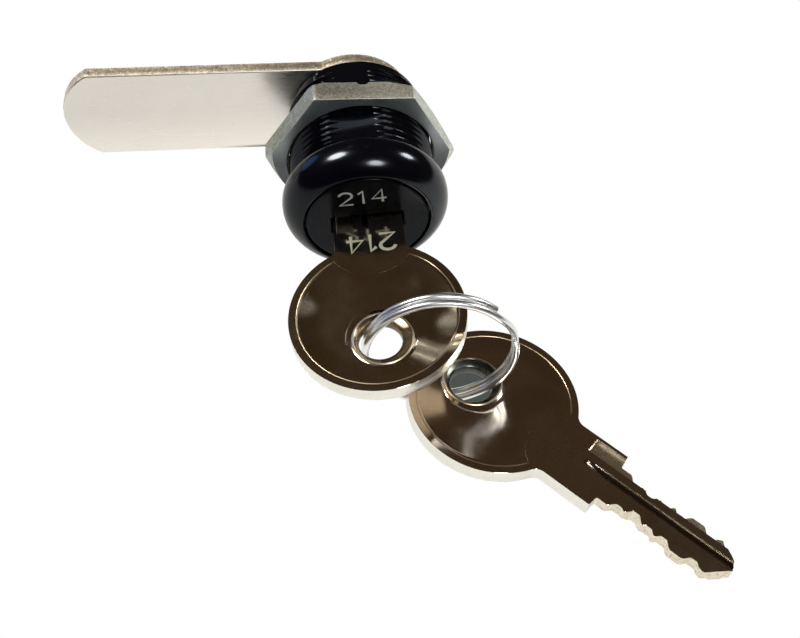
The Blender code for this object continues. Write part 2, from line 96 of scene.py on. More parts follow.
slide = joints["wafer_1_drop"]["axis"]
LOCK_TURN = -math.atan2(slide[2], slide[0])
nut_low, nut_high = box_mm("mounting_nut")
cam_low, cam_high = box_mm("cam")
key_low = box_mm("key_in_lock")[0]
washer_front, washer_rear = along_axis("spring_washer")
stop_front, stop_rear = along_axis("stop_washer")
screw_tip, screw_top = along_axis("cam_screw")
RING_CENTRE = Vector(joints["ring_spin"]["pos_m"]) / MM
RING_NORMAL = Vector(joints["ring_spin"]["axis"]).normalized()

# ---- sizes that the CAD shares, millimetres ----
HEAD_FRONT, HEAD_CREST = -5.0, -1.4
HEAD_R, HEAD_REAR_R, RIM_R = 10.7, 10.0, 8.35
THREAD_R, THREAD_ROOT_R, THREAD_PITCH = 9.4, 8.85, 1.0
THREAD_START = 1.0
BARREL_END, STOP_RIM_END, FLAT_HALF = 14.8, 15.35, 8.6
BORE_R, SEAT_R, SEAT_FLOOR = 6.6, 8.15, -2.9
GROOVE_HALF, GROOVE_R, GROOVE_START = 3.2, 7.35, -1.2
STOP_GAP_FROM, STOP_GAP_TO = -104.0, 14.0

PLUG_FACE, FLANGE_REAR, FLANGE_R = -4.9, -3.1, 7.87
PLUG_R, PLUG_END = 6.4, 14.75
TAIL_HALF, TAIL_CORNER_R, TAIL_END = 3.4, 4.4, 17.0
SCREW_HOLE_R = 1.9

BOW_R, KEY_THICK = 10.7, 2.1
KEY_Y = key_low.y + BOW_R - SEAT_Y
HOLE_X, HOLE_R, COLLAR_R = -3.5, 2.62, 3.6
DISH_R, NECK_ARC_X, NECK_ARC_R = 9.8, 11.6, 5.6
NECK_HALF, SHOULDER_X, BLADE_HALF, TIP_X = 4.45, 17.1, 3.0, 34.2
CUT_FROM, CUT_PITCH = 19.9, 2.04
CUT_HALF = (2.1, 1.5, 2.1, 2.1, 3.0, 2.1)
WARD_FROM, WARD_LOW, WARD_HIGH, WARD_DEPTH = 12.9, 1.85, 4.0, 0.6
KEY_LEAN, GROOVE_Y = 0.35, 0.35           # the hole's ridge and the groove, off the middle

WAFER_HALF, WAFER_R, WAFER_THICK, SLOT_THICK = 3.0, 6.3, 1.0, 1.25
WINDOW_PLAY, DROP, POCKET_TOP, POCKET_END = 0.12, 0.8, 4.5, 2.3

NUT_AF, NUT_BORE_R, NUT_MOUTH_R = 22.0, 9.6, 9.87
NUT_TURN = math.radians(1.0)
CAM_EYE_R, CAM_EYE_X, CAM_EYE_Z = 7.9, -0.5, 0.3
CAM_HALF, CAM_TIP_R = 7.1, 8.4

RING_R, WIRE_R, TURN_PITCH = 9.09, 0.45, 1.06
SPARE_BOW = Vector((14.123, -26.823, -8.847))
SPARE_TURN = tuple(math.radians(a) for a in (-45.02, 0.76, -5.11))


# ---- mesh helpers ----
def add_object(name, data, place=None):
    """Link data into the scene as an object, placed by a matrix if one is given."""
    obj = bpy.data.objects.new(name, data)
    bpy.context.scene.collection.objects.link(obj)
    if place is not None:
        obj.matrix_world = place
    return obj


def new_object(name, bm, place=None):
    """A bmesh in millimetres becomes an object in metres, in its local frame."""
    bmesh.ops.recalc_face_normals(bm, faces=bm.faces)
    bmesh.ops.scale(bm, vec=(MM, MM, MM), verts=bm.verts)
    mesh = bpy.data.meshes.new(name)
    bm.to_mesh(mesh)
    bm.free()
    return add_object(name, mesh, place)


def evaluated_mesh(obj):
    """The mesh that an object's modifiers, or a curve's pen, make of it."""
    graph = bpy.context.evaluated_depsgraph_get()
    return bpy.data.meshes.new_from_object(obj.evaluated_get(graph))


def carve(obj, cutters, operation="DIFFERENCE"):
    """Boolean each bmesh cutter, in the object's own frame, and keep only the result."""
    for index, bm in enumerate(cutters):
        tool = new_object("tool_%s_%d" % (obj.name, index), bm, obj.matrix_world.copy())
        mod = obj.modifiers.new("cut", "BOOLEAN")
        mod.operation = operation
        mod.solver = "EXACT"
        mod.object = tool
        bpy.context.view_layer.update()
        whole, cut = obj.data, evaluated_mesh(obj)
        obj.modifiers.clear()
        obj.data = cut
        bpy.data.meshes.remove(whole)
        bpy.data.objects.remove(tool, do_unlink=True)


def finish_piece(obj, look, body, slot, node=None, sharp=34.0):
    """Shade, paint and place a piece on its body, in place of a CAD node."""
    mesh = obj.data
    mesh.materials.clear()
    mesh.materials.append(look)
    for polygon in mesh.polygons:
        polygon.material_index = 0
    mesh.shade_smooth()
    mesh.set_sharp_from_angle(angle=math.radians(sharp))
    even = obj.modifiers.new("even_normals", "WEIGHTED_NORMAL")
    even.mode = "FACE_AREA"
    even.keep_sharp = True
    even.weight = 60
    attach(obj, body)
    if node:
        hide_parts(node)


def add_piece(name, bm, place, cutters, *finish):
    """Make a piece, cut it and finish it; the last values are finish_piece's."""
    obj = new_object(name, bm, place)
    carve(obj, cutters)
    finish_piece(obj, *finish)


def loft(rings, wrap=False):
    """Join rings of equally many points; closed by caps, or into a loop with wrap."""
    bm = bmesh.new()
    made = [[bm.verts.new(point) for point in ring] for ring in rings]
    pairs = list(zip(made, made[1:]))
    if wrap:
        pairs.append((made[-1], made[0]))
    count = len(made[0])
    for here, there in pairs:
        for k in range(count):
            n = (k + 1) % count
            bm.faces.new((here[k], here[n], there[n], there[k]))
    if not wrap:
        bm.faces.new(list(reversed(made[0])))
        bm.faces.new(made[-1])
    return bm


def about_axis(radius, y, angle):
    """A point at a radius and an angle round the Y axis."""
    return radius * math.cos(angle), y, radius * math.sin(angle)


def turned(profile, segments, start=0.0):
    """Spin a closed (radius, y) profile round the Y axis; radius 0 makes a pole."""
    bm = bmesh.new()
    rings = [[bm.verts.new(about_axis(radius, y, start + TAU * k / segments))
              for k in range(segments if radius > 0.0 else 1)] for radius, y in profile]
    for here, there in zip(rings, rings[1:] + rings[:1]):
        for k in range(segments):
            corners = list(dict.fromkeys((here[k % len(here)], here[(k + 1) % len(here)],
                                          there[(k + 1) % len(there)], there[k % len(there)])))
            if len(corners) > 2:
                bm.faces.new(corners)
    return bm


def arc(cx, cy, radius, from_deg, to_deg, count):
    angles = [math.radians(from_deg + (to_deg - from_deg) * k / count) for k in range(count + 1)]
    return [(cx + radius * math.cos(a), cy + radius * math.sin(a)) for a in angles]


def smooth(share):
    """Smooth step of a share, which is first kept between 0 and 1."""
    share = min(1.0, max(0.0, share))
    return share * share * (3.0 - 2.0 * share)


def prism(outline, low, high, axis="Z"):
    return loft([[(a, b, h) if axis == "Z" else (a, h, b) for a, b in outline]
                 for h in (low, high)])


def block(x0, x1, y0, y1, z0, z1):
    return prism([(x0, y0), (x1, y0), (x1, y1), (x0, y1)], z0, z1)


def merge(target, source):
    mesh = bpy.data.meshes.new("scratch")
    source.to_mesh(mesh)
    source.free()
    target.from_mesh(mesh)
    bpy.data.meshes.remove(mesh)


def moved(bm, vec):
    bmesh.ops.translate(bm, vec=vec, verts=bm.verts)


def rotated(bm, angle, axis):
    bmesh.ops.rotate(bm, cent=(0, 0, 0), verts=bm.verts, matrix=spin(angle, axis))


def spaced(outline, step):
    """Points no further apart than step along a closed outline, its corners kept."""
    points = []
    for i, here in enumerate(outline):
        there = outline[(i + 1) % len(outline)]
        across, along = there[0] - here[0], there[1] - here[1]
        pieces = max(1, math.ceil(math.hypot(across, along) / step))
        points += [(here[0] + across * (k / pieces), here[1] + along * (k / pieces))
                   for k in range(pieces)]
    return points


def outward(outline):
    """Outward unit normals of a counter-clockwise outline."""
    normals = []
    for i in range(len(outline)):
        before, after = outline[i - 1], outline[(i + 1) % len(outline)]
        tx, ty = after[0] - before[0], after[1] - before[1]
        length = math.hypot(tx, ty) or 1.0
        normals.append((ty / length, -tx / length))
    return normals


def rough_at(point, scale, seed):
    return noise.noise(Vector((point[0] * scale, point[1] * scale, point[2] * scale + seed)))


def stamped(outline, low, high, axis, roll, burr, rough, step, seed):
    """Sheared plate: rolled edge at low, burnished band, torn band, and a burr at high."""
    points = spaced(outline, step)
    normals = outward(points)
    thick = high - low
    # height, inset and share of the roughness
    rows = [(0.0, roll, 0.0), (0.18 * roll, 0.55 * roll, 0.0), (0.5 * roll, 0.2 * roll, 0.0),
            (roll, 0.03 * roll, 0.0), (0.36 * thick, 0.0, 0.15), (0.44 * thick, 0.0, 0.5),
            (0.55 * thick, 0.02, 1.0), (0.66 * thick, 0.035, 1.0), (0.78 * thick, 0.04, 1.0),
            (0.89 * thick, 0.04, 0.8), (thick - 0.5 * burr, burr * 0.4, 0.3), (thick, burr, 0.0)]
    rings = []
    for height, inset, share in rows:
        h = low + height
        ring = []
        for (a, b), (na, nb) in zip(points, normals):
            torn = rough_at((a, b, h), 2.6, seed) + 0.6 * rough_at((a, b, h), 7.0, seed)
            inward = inset - rough * share * torn
            a1, b1 = a - na * inward, b - nb * inward
            ring.append((a1, b1, h) if axis == "Z" else (a1, h, b1))
        rings.append(ring)
    return loft(rings)


def tube(path, radius, sides, taper):
    """Sweep a round section along a path; taper rounds the two cut ends."""
    last = len(path) - 1
    normal = (path[1] - path[0]).normalized().orthogonal().normalized()
    loops = []
    for i, point in enumerate(path):
        tangent = (path[min(i + 1, last)] - path[max(i - 1, 0)]).normalized()
        normal = (normal - tangent * normal.dot(tangent)).normalized()
        side = tangent.cross(normal)
        ring = [point + (normal * math.cos(TAU * k / sides)
                         + side * math.sin(TAU * k / sides)) * radius for k in range(sides)]
        if i not in (0, last):
            loops.append(ring)
            continue
        out = -tangent if i == 0 else tangent
        small = [point + out * taper + (p - point) * (1.0 - taper / radius) for p in ring]
        loops += [small, ring] if i == 0 else [ring, small]
    return loft(loops)


# ---- materials ----
class Nodes:
    """Adds shader nodes to a tree. An input is a value, or a socket that gets linked."""

    def __init__(self, tree):
        self.tree = tree

    def fill(self, socket, value):
        if isinstance(value, bpy.types.NodeSocket):
            self.tree.links.new(value, socket)
        elif socket.type == "RGBA":
            socket.default_value = (*value, 1.0)
        else:
            socket.default_value = value

    def add(self, kind, settings=None, **values):
        """Inputs are given by name, or by number behind an underscore."""
        node = self.tree.nodes.new("ShaderNode" + kind)
        for key, value in (settings or {}).items():
            setattr(node, key, value)
        for key, value in values.items():
            self.fill(node.inputs[int(key[1:]) if key[0] == "_" else key.replace("_", " ")], value)
        return node

    def math(self, operation, a, b=0.0):
        return self.add("Math", {"operation": operation}, _0=a, _1=b).outputs[0]

    def chain(self, operation, values):
        total = values[0]
        for value in values[1:]:
            total = self.math(operation, total, value)
        return total

    def times(self, *values):
        return self.chain("MULTIPLY", values)

    def plus(self, *values):
        return self.chain("ADD", values)

    def larger(self, *values):
        return self.chain("MAXIMUM", values)

    def abs(self, value):
        return self.math("ABSOLUTE", value)

    def apart(self, a, b):
        return self.abs(self.math("SUBTRACT", a, b))

    def hypot(self, a, b):
        return self.math("SQRT", self.plus(self.times(a, a), self.times(b, b)))

    def span(self, value, low, high, to_low=0.0, to_high=1.0):
        """Smooth step of a value between two limits."""
        return self.add("MapRange", {"interpolation_type": "SMOOTHSTEP"}, Value=value,
                        _1=low, _2=high, _3=to_low, _4=to_high).outputs[0]

    def fade(self, value, low, high):
        return self.span(value, low, high, 1.0, 0.0)

    def mix(self, share, a, b):
        return self.add("Mix", {"data_type": "RGBA"}, _0=share, _6=a, _7=b).outputs[2]

    def over(self, base, *layers):
        """Lay colours over a base, each with its share."""
        for share, colour in layers:
            base = self.mix(share, base, colour)
        return base

    def vector(self, operation, a, b):
        return self.add("VectorMath", {"operation": operation}, _0=a, _1=b).outputs[0]

    def measure(self, operation, a, b):
        """A number made from two vectors: their dot product or distance."""
        return self.add("VectorMath", {"operation": operation}, _0=a, _1=b).outputs["Value"]

    def scaled(self, vector, share):
        return self.add("VectorMath", {"operation": "SCALE"}, _0=vector, Scale=share).outputs[0]

    def by_ray(self, others, seen, output):
        """Show one shader to the camera and another to all other rays."""
        mix = self.add("MixShader", _0=self.add("LightPath").outputs["Is Camera Ray"],
                       _1=others, _2=seen)
        self.tree.links.new(mix.outputs[0], self.add(output).inputs[0])


class Paint(Nodes):
    """One procedural material. Its patterns are in millimetres of the piece's own frame."""

    def __init__(self, name):
        self.material = bpy.data.materials.new(name)
        self.material.use_nodes = True
        super().__init__(self.material.node_tree)
        self.coordinates = self.add("TexCoord").outputs
        self.place = self.scaled(self.coordinates["Object"], 1.0 / MM)
        self.x, self.y, self.z = self.add("SeparateXYZ", Vector=self.place).outputs

    def stretched(self, x, y, z):
        return self.vector("MULTIPLY", self.place, (x, y, z))

    def noise(self, scale, detail=3.0, rough=0.5, vector=None, warp=0.0):
        return self.add("TexNoise", Vector=vector or self.place, Scale=scale, Detail=detail,
                        Roughness=rough, Distortion=warp).outputs["Fac"]

    def cells(self, scale):
        return self.add("TexVoronoi", Vector=self.place, Scale=scale).outputs["Distance"]

    def facing(self, axis):
        """How squarely the surface faces along an axis of the piece's frame, 0 to 1."""
        normal = self.add("SeparateXYZ", Vector=self.coordinates["Normal"])
        return self.abs(normal.outputs[axis])

    def radius_from(self, x, y):
        """Distance in the piece's xy plane from a point."""
        return self.hypot(self.math("SUBTRACT", self.x, x), self.math("SUBTRACT", self.y, y))

    def bump(self, height, depth, strength, over=None):
        under = {} if over is None else {"Normal": over}
        return self.add("Bump", Height=height, Distance=depth * MM, Strength=strength,
                        **under).outputs[0]

    def apply(self, **values):
        shader = self.tree.nodes["Principled BSDF"]
        for key, value in values.items():
            self.fill(shader.inputs[key.replace("_", " ")], value)
        return self.material

    def metal(self, colour, rough, **values):
        return self.apply(Base_Color=colour, Roughness=rough, Metallic=1.0, **values)


def shaded(share, colour):
    return tuple(share * c for c in colour)


def black_enamel():
    """Satin black lacquer with a blue cast, thin on the thread's crests near the head."""
    p = Paint("black_enamel")
    cloud = p.noise(0.35, 4.0)
    fine = p.noise(9.0, 3.0, 0.6)
    dust = p.times(p.fade(p.cells(1.1), 0.0, 0.035), 0.30)
    cut_end = p.span(p.abs(p.z), FLAT_HALF - 0.50, FLAT_HALF - 0.25)
    crest = p.span(p.hypot(p.x, p.z), THREAD_R - 0.22, THREAD_R - 0.08)
    near_head = p.times(p.span(p.y, 0.8, 1.2), p.fade(p.y, 5.8, 6.4))
    worn = p.times(cut_end, crest, near_head, p.span(fine, 0.30, 0.60))
    colour = p.over(p.mix(cloud, (0.0008, 0.0011, 0.0028), (0.0018, 0.0022, 0.0048)),
                    (dust, (0.30, 0.31, 0.33)), (worn, (0.07, 0.074, 0.078)))
    skin = p.bump(fine, 0.0012, 0.6, p.bump(p.noise(3.2, 2.0), 0.003, 0.5))
    gloss = p.larger(p.span(p.x, -2.0, 8.0, 0.20, 0.52), p.span(p.facing(2), 0.45, 0.85, 0.0, 0.60))
    return p.apply(Base_Color=colour, Roughness=p.span(cloud, 0.2, 0.8, 0.13, 0.17),
                   Specular_IOR_Level=gloss, Specular_Tint=(0.86, 0.92, 1.0), Normal=skin)


def plug_black():
    """The same black, rubbed a little by keys round the keyway."""
    p = Paint("plug_black")
    cloud = p.noise(0.6, 4.0)
    scratch = p.noise(1.0, 6.0, 0.7, p.stretched(9.0, 1.0, 1.2), 0.6)
    worn = p.times(p.fade(p.abs(p.z), 1.2, 2.4), p.span(scratch, 0.56, 0.66), 0.5)
    colour = p.over(p.mix(cloud, (0.0009, 0.0011, 0.0022), (0.0020, 0.0022, 0.0038)),
                    (worn, (0.05, 0.05, 0.045)))
    return p.apply(Base_Color=colour, Roughness=p.span(cloud, 0.2, 0.8, 0.17, 0.25),
                   Specular_IOR_Level=0.12, Specular_Tint=(0.8, 0.88, 1.0),
                   Normal=p.bump(scratch, 0.004, 0.35))


def zinc_plate(name, tint, dark, streak):
    """Dull zinc over turned and sheared steel: blotches, short streaks, a torn edge grain."""
    p = Paint(name)
    blotch = p.noise(0.45, 5.0, 0.6, None, 0.4)
    grain = p.noise(1.0, 5.0, 0.65, p.stretched(*streak))
    pits = p.span(p.noise(5.5, 3.0, 0.7), 0.60, 0.74)
    colour = p.over(p.mix(blotch, dark, tint), (p.times(grain, 0.35), shaded(0.62, tint)),
                    (p.times(pits, 0.5), shaded(0.35, dark)))
    skin = p.bump(pits, 0.01, 0.5, p.bump(grain, 0.02, 0.55))
    return p.metal(colour, p.span(grain, 0.25, 0.75, 0.34, 0.52), Normal=skin)


def nut_zinc():
    """Front and rear faces are smooth slate, with painted shade low down and painted light towards
    the top; the flats are sheared, streaked along Y, and painted lighter and less metallic on the
    right side as painted light.
    """
    p = Paint("nut_zinc")
    flat_side = p.fade(p.facing(1), 0.86, 0.96)
    blotch = p.noise(0.5, 5.0, 0.6, None, 0.5)
    tear = p.noise(1.0, 5.0, 0.7, p.stretched(3.4, 0.5, 3.4), 0.3)
    crumbs = p.noise(4.5, 4.0, 0.7)
    mottle = p.span(p.noise(1.7, 5.0, 0.75, None, 0.8), 0.38, 0.64)
    # painted light: the flats' right side is made lighter, and further down less metallic
    right = p.span(p.x, -4.0, 4.0)
    # painted shade and light: front and rear faces are dark slate low down and pale towards the top
    face = p.mix(p.span(p.z, -1.0, 9.0),
                 p.mix(blotch, (0.07, 0.074, 0.084), (0.13, 0.135, 0.145)),
                 p.mix(blotch, (0.55, 0.61, 0.63), (0.76, 0.83, 0.85)))
    side = p.mix(p.plus(p.times(mottle, 0.7), p.times(tear, 0.3)),
                 p.mix(right, (0.26, 0.28, 0.26), (0.52, 0.55, 0.49)),
                 p.mix(right, (0.60, 0.63, 0.58), (0.95, 0.98, 0.90)))
    brown = p.mix(p.span(crumbs, 0.35, 0.65), (0.30, 0.27, 0.21), (0.56, 0.54, 0.46))
    side = p.mix(p.span(p.facing(2), 0.80, 0.95), side, brown)
    skin = p.bump(tear, 0.03, p.times(flat_side, 0.8))
    skin = p.bump(crumbs, 0.016, 0.5, skin)
    rough = p.plus(p.times(flat_side, 0.16), p.span(crumbs, 0.3, 0.7, 0.30, 0.42))
    metal = p.math("SUBTRACT", 1.0, p.times(flat_side, right, 0.30))
    return p.apply(Base_Color=p.mix(flat_side, face, side), Metallic=metal, Roughness=rough,
                   Normal=skin)


def cam_nickel():
    """Satin nickel faces, painted paler towards the bottom as light, with a painted dark shade
    along the lower edge near the lock; torn tan metal round the edge, with bright specks, painted a
    darker brown near the eye as shade."""
    p = Paint("cam_nickel")
    edge = p.fade(p.facing(1), 0.45, 0.80)
    streak = p.noise(1.0, 4.0, 0.6, p.stretched(0.35, 1.0, 5.0))
    tear = p.noise(1.0, 5.0, 0.75, p.stretched(3.0, 1.1, 3.0), 0.5)
    bright = p.span(p.noise(3.4, 2.0, 0.5, p.stretched(1.0, 0.8, 1.0)), 0.60, 0.70)
    dirt = p.span(p.noise(2.2, 4.0, 0.7), 0.66, 0.74)
    # painted shade: a dark strip along the lower edge, only near the lock
    lower_edge_shade = p.times(p.span(p.z, -6.3, -6.8), p.span(p.x, -20.0, -12.0), 0.85)
    cloud = p.noise(0.16, 5.0, 0.6, None, 0.5)
    # painted light: the face turns pale cream towards the bottom, where it reflects the floor
    face = p.over(p.mix(cloud, (0.76, 0.735, 0.68), (0.84, 0.80, 0.755)),
                  (p.span(p.z, 1.0, -7.5, 0.0, 0.8), (0.98, 0.95, 0.87)),
                  (p.times(dirt, 0.12), (0.45, 0.43, 0.38)), (lower_edge_shade, (0.10, 0.08, 0.06)))
    # painted shade: the torn edge is laid over with darker brown near the eye, beside the lock
    brown = p.mix(tear, (0.22, 0.17, 0.11), (0.62, 0.54, 0.40))
    side = p.over(p.mix(p.span(tear, 0.3, 0.7), (0.42, 0.34, 0.24), (0.96, 0.86, 0.68)),
                  (p.span(p.x, -16.0, -9.0, 0.0, 0.7), brown), (bright, (1.0, 0.97, 0.86)))
    rough = p.plus(p.times(edge, 0.22), p.span(streak, 0.2, 0.8, 0.26, 0.34))
    skin = p.bump(tear, 0.07, p.times(edge, 0.9), p.bump(streak, 0.0012, 0.5))
    return p.metal(p.mix(edge, face, side), rough, Normal=skin)


def key_nickel(name, lean, tint, hole_shade_dark, hole_shade_light, hazes):
    """Polished nickel with smudges; brass shows on cut edges. The hole's countersink is painted
    dark as shade, the ridge round the hole and the dish's rim are tinted gold as painted highlight
    lines, and the groove and the lower face are painted darker as shade.
    A haze is a rubbed patch: its place on the bow, its reach and how dull it is."""
    p = Paint(name)
    edge = p.fade(p.facing(2), 0.30, 0.65)
    smudge = p.noise(0.22, 5.0, 0.6, None, 0.8)
    hair = p.noise(1.0, 6.0, 0.7, p.stretched(0.8, 7.0, 1.0), 0.3)
    tear = p.noise(1.0, 4.0, 0.7, p.stretched(5.0, 5.0, 0.8))
    upside = p.math("SIGN", p.z)
    from_bow = p.radius_from(0.0, 0.0)
    from_hole = p.radius_from(HOLE_X, p.times(upside, lean))

    blush = p.span(p.noise(5.0, 4.0, 0.7), 0.35, 0.70, 0.0, 0.55)
    specks = p.times(p.fade(p.cells(0.75), 0.0, 0.06), 0.6)
    off_groove = p.apart(p.y, p.times(upside, GROOVE_Y))
    # painted shade along the groove, which also dulls the glint where the groove starts
    groove_shade = p.times(p.fade(off_groove, 0.28, 0.52), p.span(p.x, 13.5, 16.0, 0.55, 0.82),
                    p.span(p.x, 13.2, 13.5))
    recess = p.times(p.fade(p.abs(p.z), 0.60, 0.80),
                     p.span(p.times(upside, p.y), WARD_LOW - 0.1, WARD_LOW - 0.02))
    # painted shade: the lower face is laid over with darker brown, as the key's underside in shade
    face = p.over(p.mix(smudge, tint, (0.88, 0.82, 0.74)), (blush, (0.58, 0.42, 0.34)),
                  (specks, (0.30, 0.20, 0.12)), (groove_shade, (0.10, 0.078, 0.055)),
                  (recess, (0.92, 0.80, 0.60)),
                  (p.span(p.z, -0.2, 0.2, 0.62, 0.0), (0.42, 0.33, 0.22)))

    chips = p.times(p.span(p.noise(2.6, 4.0, 0.7), 0.52, 0.62), 0.6)
    cut = p.over(p.mix(tear, (0.74, 0.64, 0.48), (1.0, 0.96, 0.85)), (chips, (0.50, 0.38, 0.22)))
    side = p.mix(p.span(p.x, SHOULDER_X, SHOULDER_X + 0.6),
                 p.mix(tear, (0.86, 0.83, 0.75), (1.0, 0.99, 0.94)), cut)

    # painted shade: the countersink takes the dark hole colours; the ridge and rim get gold tints
    # that paint their thin highlight lines
    countersink = p.fade(from_hole, COLLAR_R - 0.20, COLLAR_R - 0.10)
    ridge = p.fade(p.apart(from_hole, COLLAR_R), 0.07, 0.15)
    rim = p.times(p.fade(p.apart(from_bow, DISH_R - 0.08), 0.05, 0.11), p.fade(p.x, 8.0, 9.0))
    colour = p.over(face, (edge, side), (countersink, p.mix(tear, hole_shade_dark, hole_shade_light)),
                    (ridge, (0.86, 0.74, 0.52)), (rim, (0.62, 0.50, 0.34)))

    dull = p.larger(p.times(p.larger(ridge, rim), 0.24), p.times(countersink, 0.16),
                    p.times(recess, 0.11))
    rough = p.plus(p.times(edge, 0.20), p.span(smudge, 0.35, 0.75, 0.10, 0.14), dull)
    on_top = p.times(p.span(p.z, 0.3, 0.5), p.fade(from_bow, DISH_R - 0.30, DISH_R - 0.12))
    for x, y, reach, dullness in hazes:
        haze = p.span(p.radius_from(x, y), 0.25 * reach, reach, dullness, 0.0)
        rough = p.plus(rough, p.times(haze, p.span(smudge, 0.30, 0.55, 0.75, 1.0), on_top))
    skin = p.bump(hair, 0.0008, 0.5, p.bump(p.noise(0.30, 1.0), 0.010, 0.5))
    skin = p.bump(tear, 0.02, p.times(edge, 0.8), skin)
    return p.metal(colour, rough, Normal=skin)


def ring_chrome():
    p = Paint("ring_chrome")
    colour = p.mix(p.noise(1.6, 5.0, 0.6), (0.88, 0.90, 0.93), (0.97, 0.97, 0.97))
    return p.metal(colour, p.span(p.noise(0.7, 4.0, 0.6), 0.45, 0.62, 0.29, 0.33))


def wafer_brass():
    p = Paint("wafer_brass")
    tarnish = p.noise(0.8, 5.0, 0.6, None, 0.4)
    grain = p.noise(1.0, 5.0, 0.6, p.stretched(1.0, 1.0, 8.0))
    return p.metal(p.mix(tarnish, (0.62, 0.43, 0.18), (0.82, 0.64, 0.33)),
                   p.span(tarnish, 0.3, 0.7, 0.25, 0.42), Normal=p.bump(grain, 0.004, 0.5))


def number_paint(name, colour):
    """Paint rubbed into the stamped numbers, thin and uneven."""
    p = Paint(name)
    thin = p.noise(3.2, 4.0, 0.6)
    return p.apply(Base_Color=p.mix(thin, shaded(0.55, colour), colour),
                   Roughness=p.span(thin, 0.3, 0.7, 0.45, 0.65), Normal=p.bump(thin, 0.01, 0.5))


BLACK = black_enamel()
PLUG_BLACK = plug_black()
NUT_ZINC = nut_zinc()
CAM_NICKEL = cam_nickel()
# the two dark colours after the tint are each key's painted countersink shade
KEY_NICKEL = key_nickel("key_nickel", -KEY_LEAN, (0.76, 0.70, 0.48),
                        (0.17, 0.125, 0.075), (0.32, 0.25, 0.16),
                        ((2.3, 8.6, 2.2, 0.20), (-2.4, -8.2, 2.3, 0.26)))
SPARE_NICKEL = key_nickel("spare_nickel", KEY_LEAN, (0.84, 0.72, 0.60),
                          (0.075, 0.08, 0.07), (0.16, 0.17, 0.15),
                          ((1.6, -6.2, 2.6, 0.05), (5.6, 1.4, 2.4, 0.04)))
RING_CHROME = ring_chrome()
WAFER_BRASS = wafer_brass()
WASHER_ZINC = zinc_plate("washer_zinc", (0.66, 0.66, 0.60), (0.46, 0.46, 0.42), (1.2, 1.2, 1.2))
SPRING_STEEL = zinc_plate("spring_steel", (0.62, 0.63, 0.66), (0.40, 0.41, 0.44), (2.0, 2.0, 2.0))
SCREW_ZINC = zinc_plate("screw_zinc", (0.72, 0.68, 0.52), (0.52, 0.49, 0.38), (0.7, 4.0, 0.7))
FACE_NUMBER = number_paint("face_number", (0.50, 0.51, 0.50))
KEY_NUMBER = number_paint("key_number", (0.40, 0.39, 0.27))


# ---- frames ----
def frame_at(position, rotation):
    return Matrix.Translation(Vector(position) * MM) @ rotation.to_4x4()


SEAT = frame_at((0, SEAT_Y, 0), Matrix.Identity(3))
LOCK = frame_at((0, SEAT_Y, 0), spin(LOCK_TURN, "Y"))
NUT = frame_at((0, nut_low.y, 0), spin(NUT_TURN, "Y"))
KEY_IN = LOCK @ frame_at((0, KEY_Y, 0), spin(QUARTER, "Z"))
yaw, pitch, bank = SPARE_TURN
spare_turn = spin(yaw, "Z") @ spin(pitch, "Y") @ spin(bank, "X")
SPARE = frame_at(SPARE_BOW + Vector((0, SEAT_Y, 0)) - spare_turn @ Vector((0, 0, KEY_THICK / 2)),
                 spare_turn)
ring_right = (Vector((1, 0, 0)) - RING_NORMAL * RING_NORMAL.x).normalized()
RING = frame_at(RING_CENTRE, Matrix((ring_right, RING_NORMAL.cross(ring_right),
                                     RING_NORMAL)).transposed())


# ---- housing ----
COLUMNS = 216
THREAD_ROWS, THREAD_TURNS = 10, 13


def ring_of(radius, y):
    """A plain ring of the housing; its seam is in the upper barrel flat."""
    return [about_axis(radius, y, QUARTER + TAU * (k + 0.5) / COLUMNS) for k in range(COLUMNS)]


def thread_ring(row):
    """A row that follows the helix, fading out at the seam, which the flat cuts away."""
    phase = (row % THREAD_ROWS) / THREAD_ROWS
    base = THREAD_START + THREAD_PITCH * row / THREAD_ROWS
    from_end = min(row, THREAD_TURNS * THREAD_ROWS - row) / THREAD_ROWS
    lead = min(1.0, from_end / 2.0)
    height = (0.5 - 0.5 * math.cos(TAU * phase)) ** 0.85 * min(1.0, from_end * 1.5)
    points = []
    for k in range(COLUMNS):
        share = (k + 0.5) / COLUMNS
        seam = min(share, 1.0 - share) * 360.0
        fade = min(1.0, max(0.0, (seam - 4.0) / 7.0))
        points.append(about_axis(THREAD_ROOT_R + (THREAD_R - THREAD_ROOT_R) * height * fade,
                                 base + THREAD_PITCH * (share - 0.5) * lead,
                                 QUARTER + TAU * share))
    return points


def head_profile():
    """The head's outside: a rounded rear corner, the crest, and the full round front."""
    points = [(HEAD_REAR_R, 0.0)]
    rear_steps, front_steps = 10, 34
    for k in range(1, rear_steps + 1):
        t = 0.5 * math.pi * k / rear_steps
        points.append((HEAD_REAR_R + (HEAD_R - HEAD_REAR_R) * math.sin(t),
                       HEAD_CREST * (1.0 - math.cos(t))))
    for k in range(1, front_steps + 1):
        along = 1.0 - (1.0 - k / front_steps) ** 1.35
        bulge = max(0.0, 1.0 - along ** 2.35) ** 0.80
        points.append((RIM_R + (HEAD_R - RIM_R) * bulge,
                       HEAD_CREST + (HEAD_FRONT - HEAD_CREST) * along))
    return points


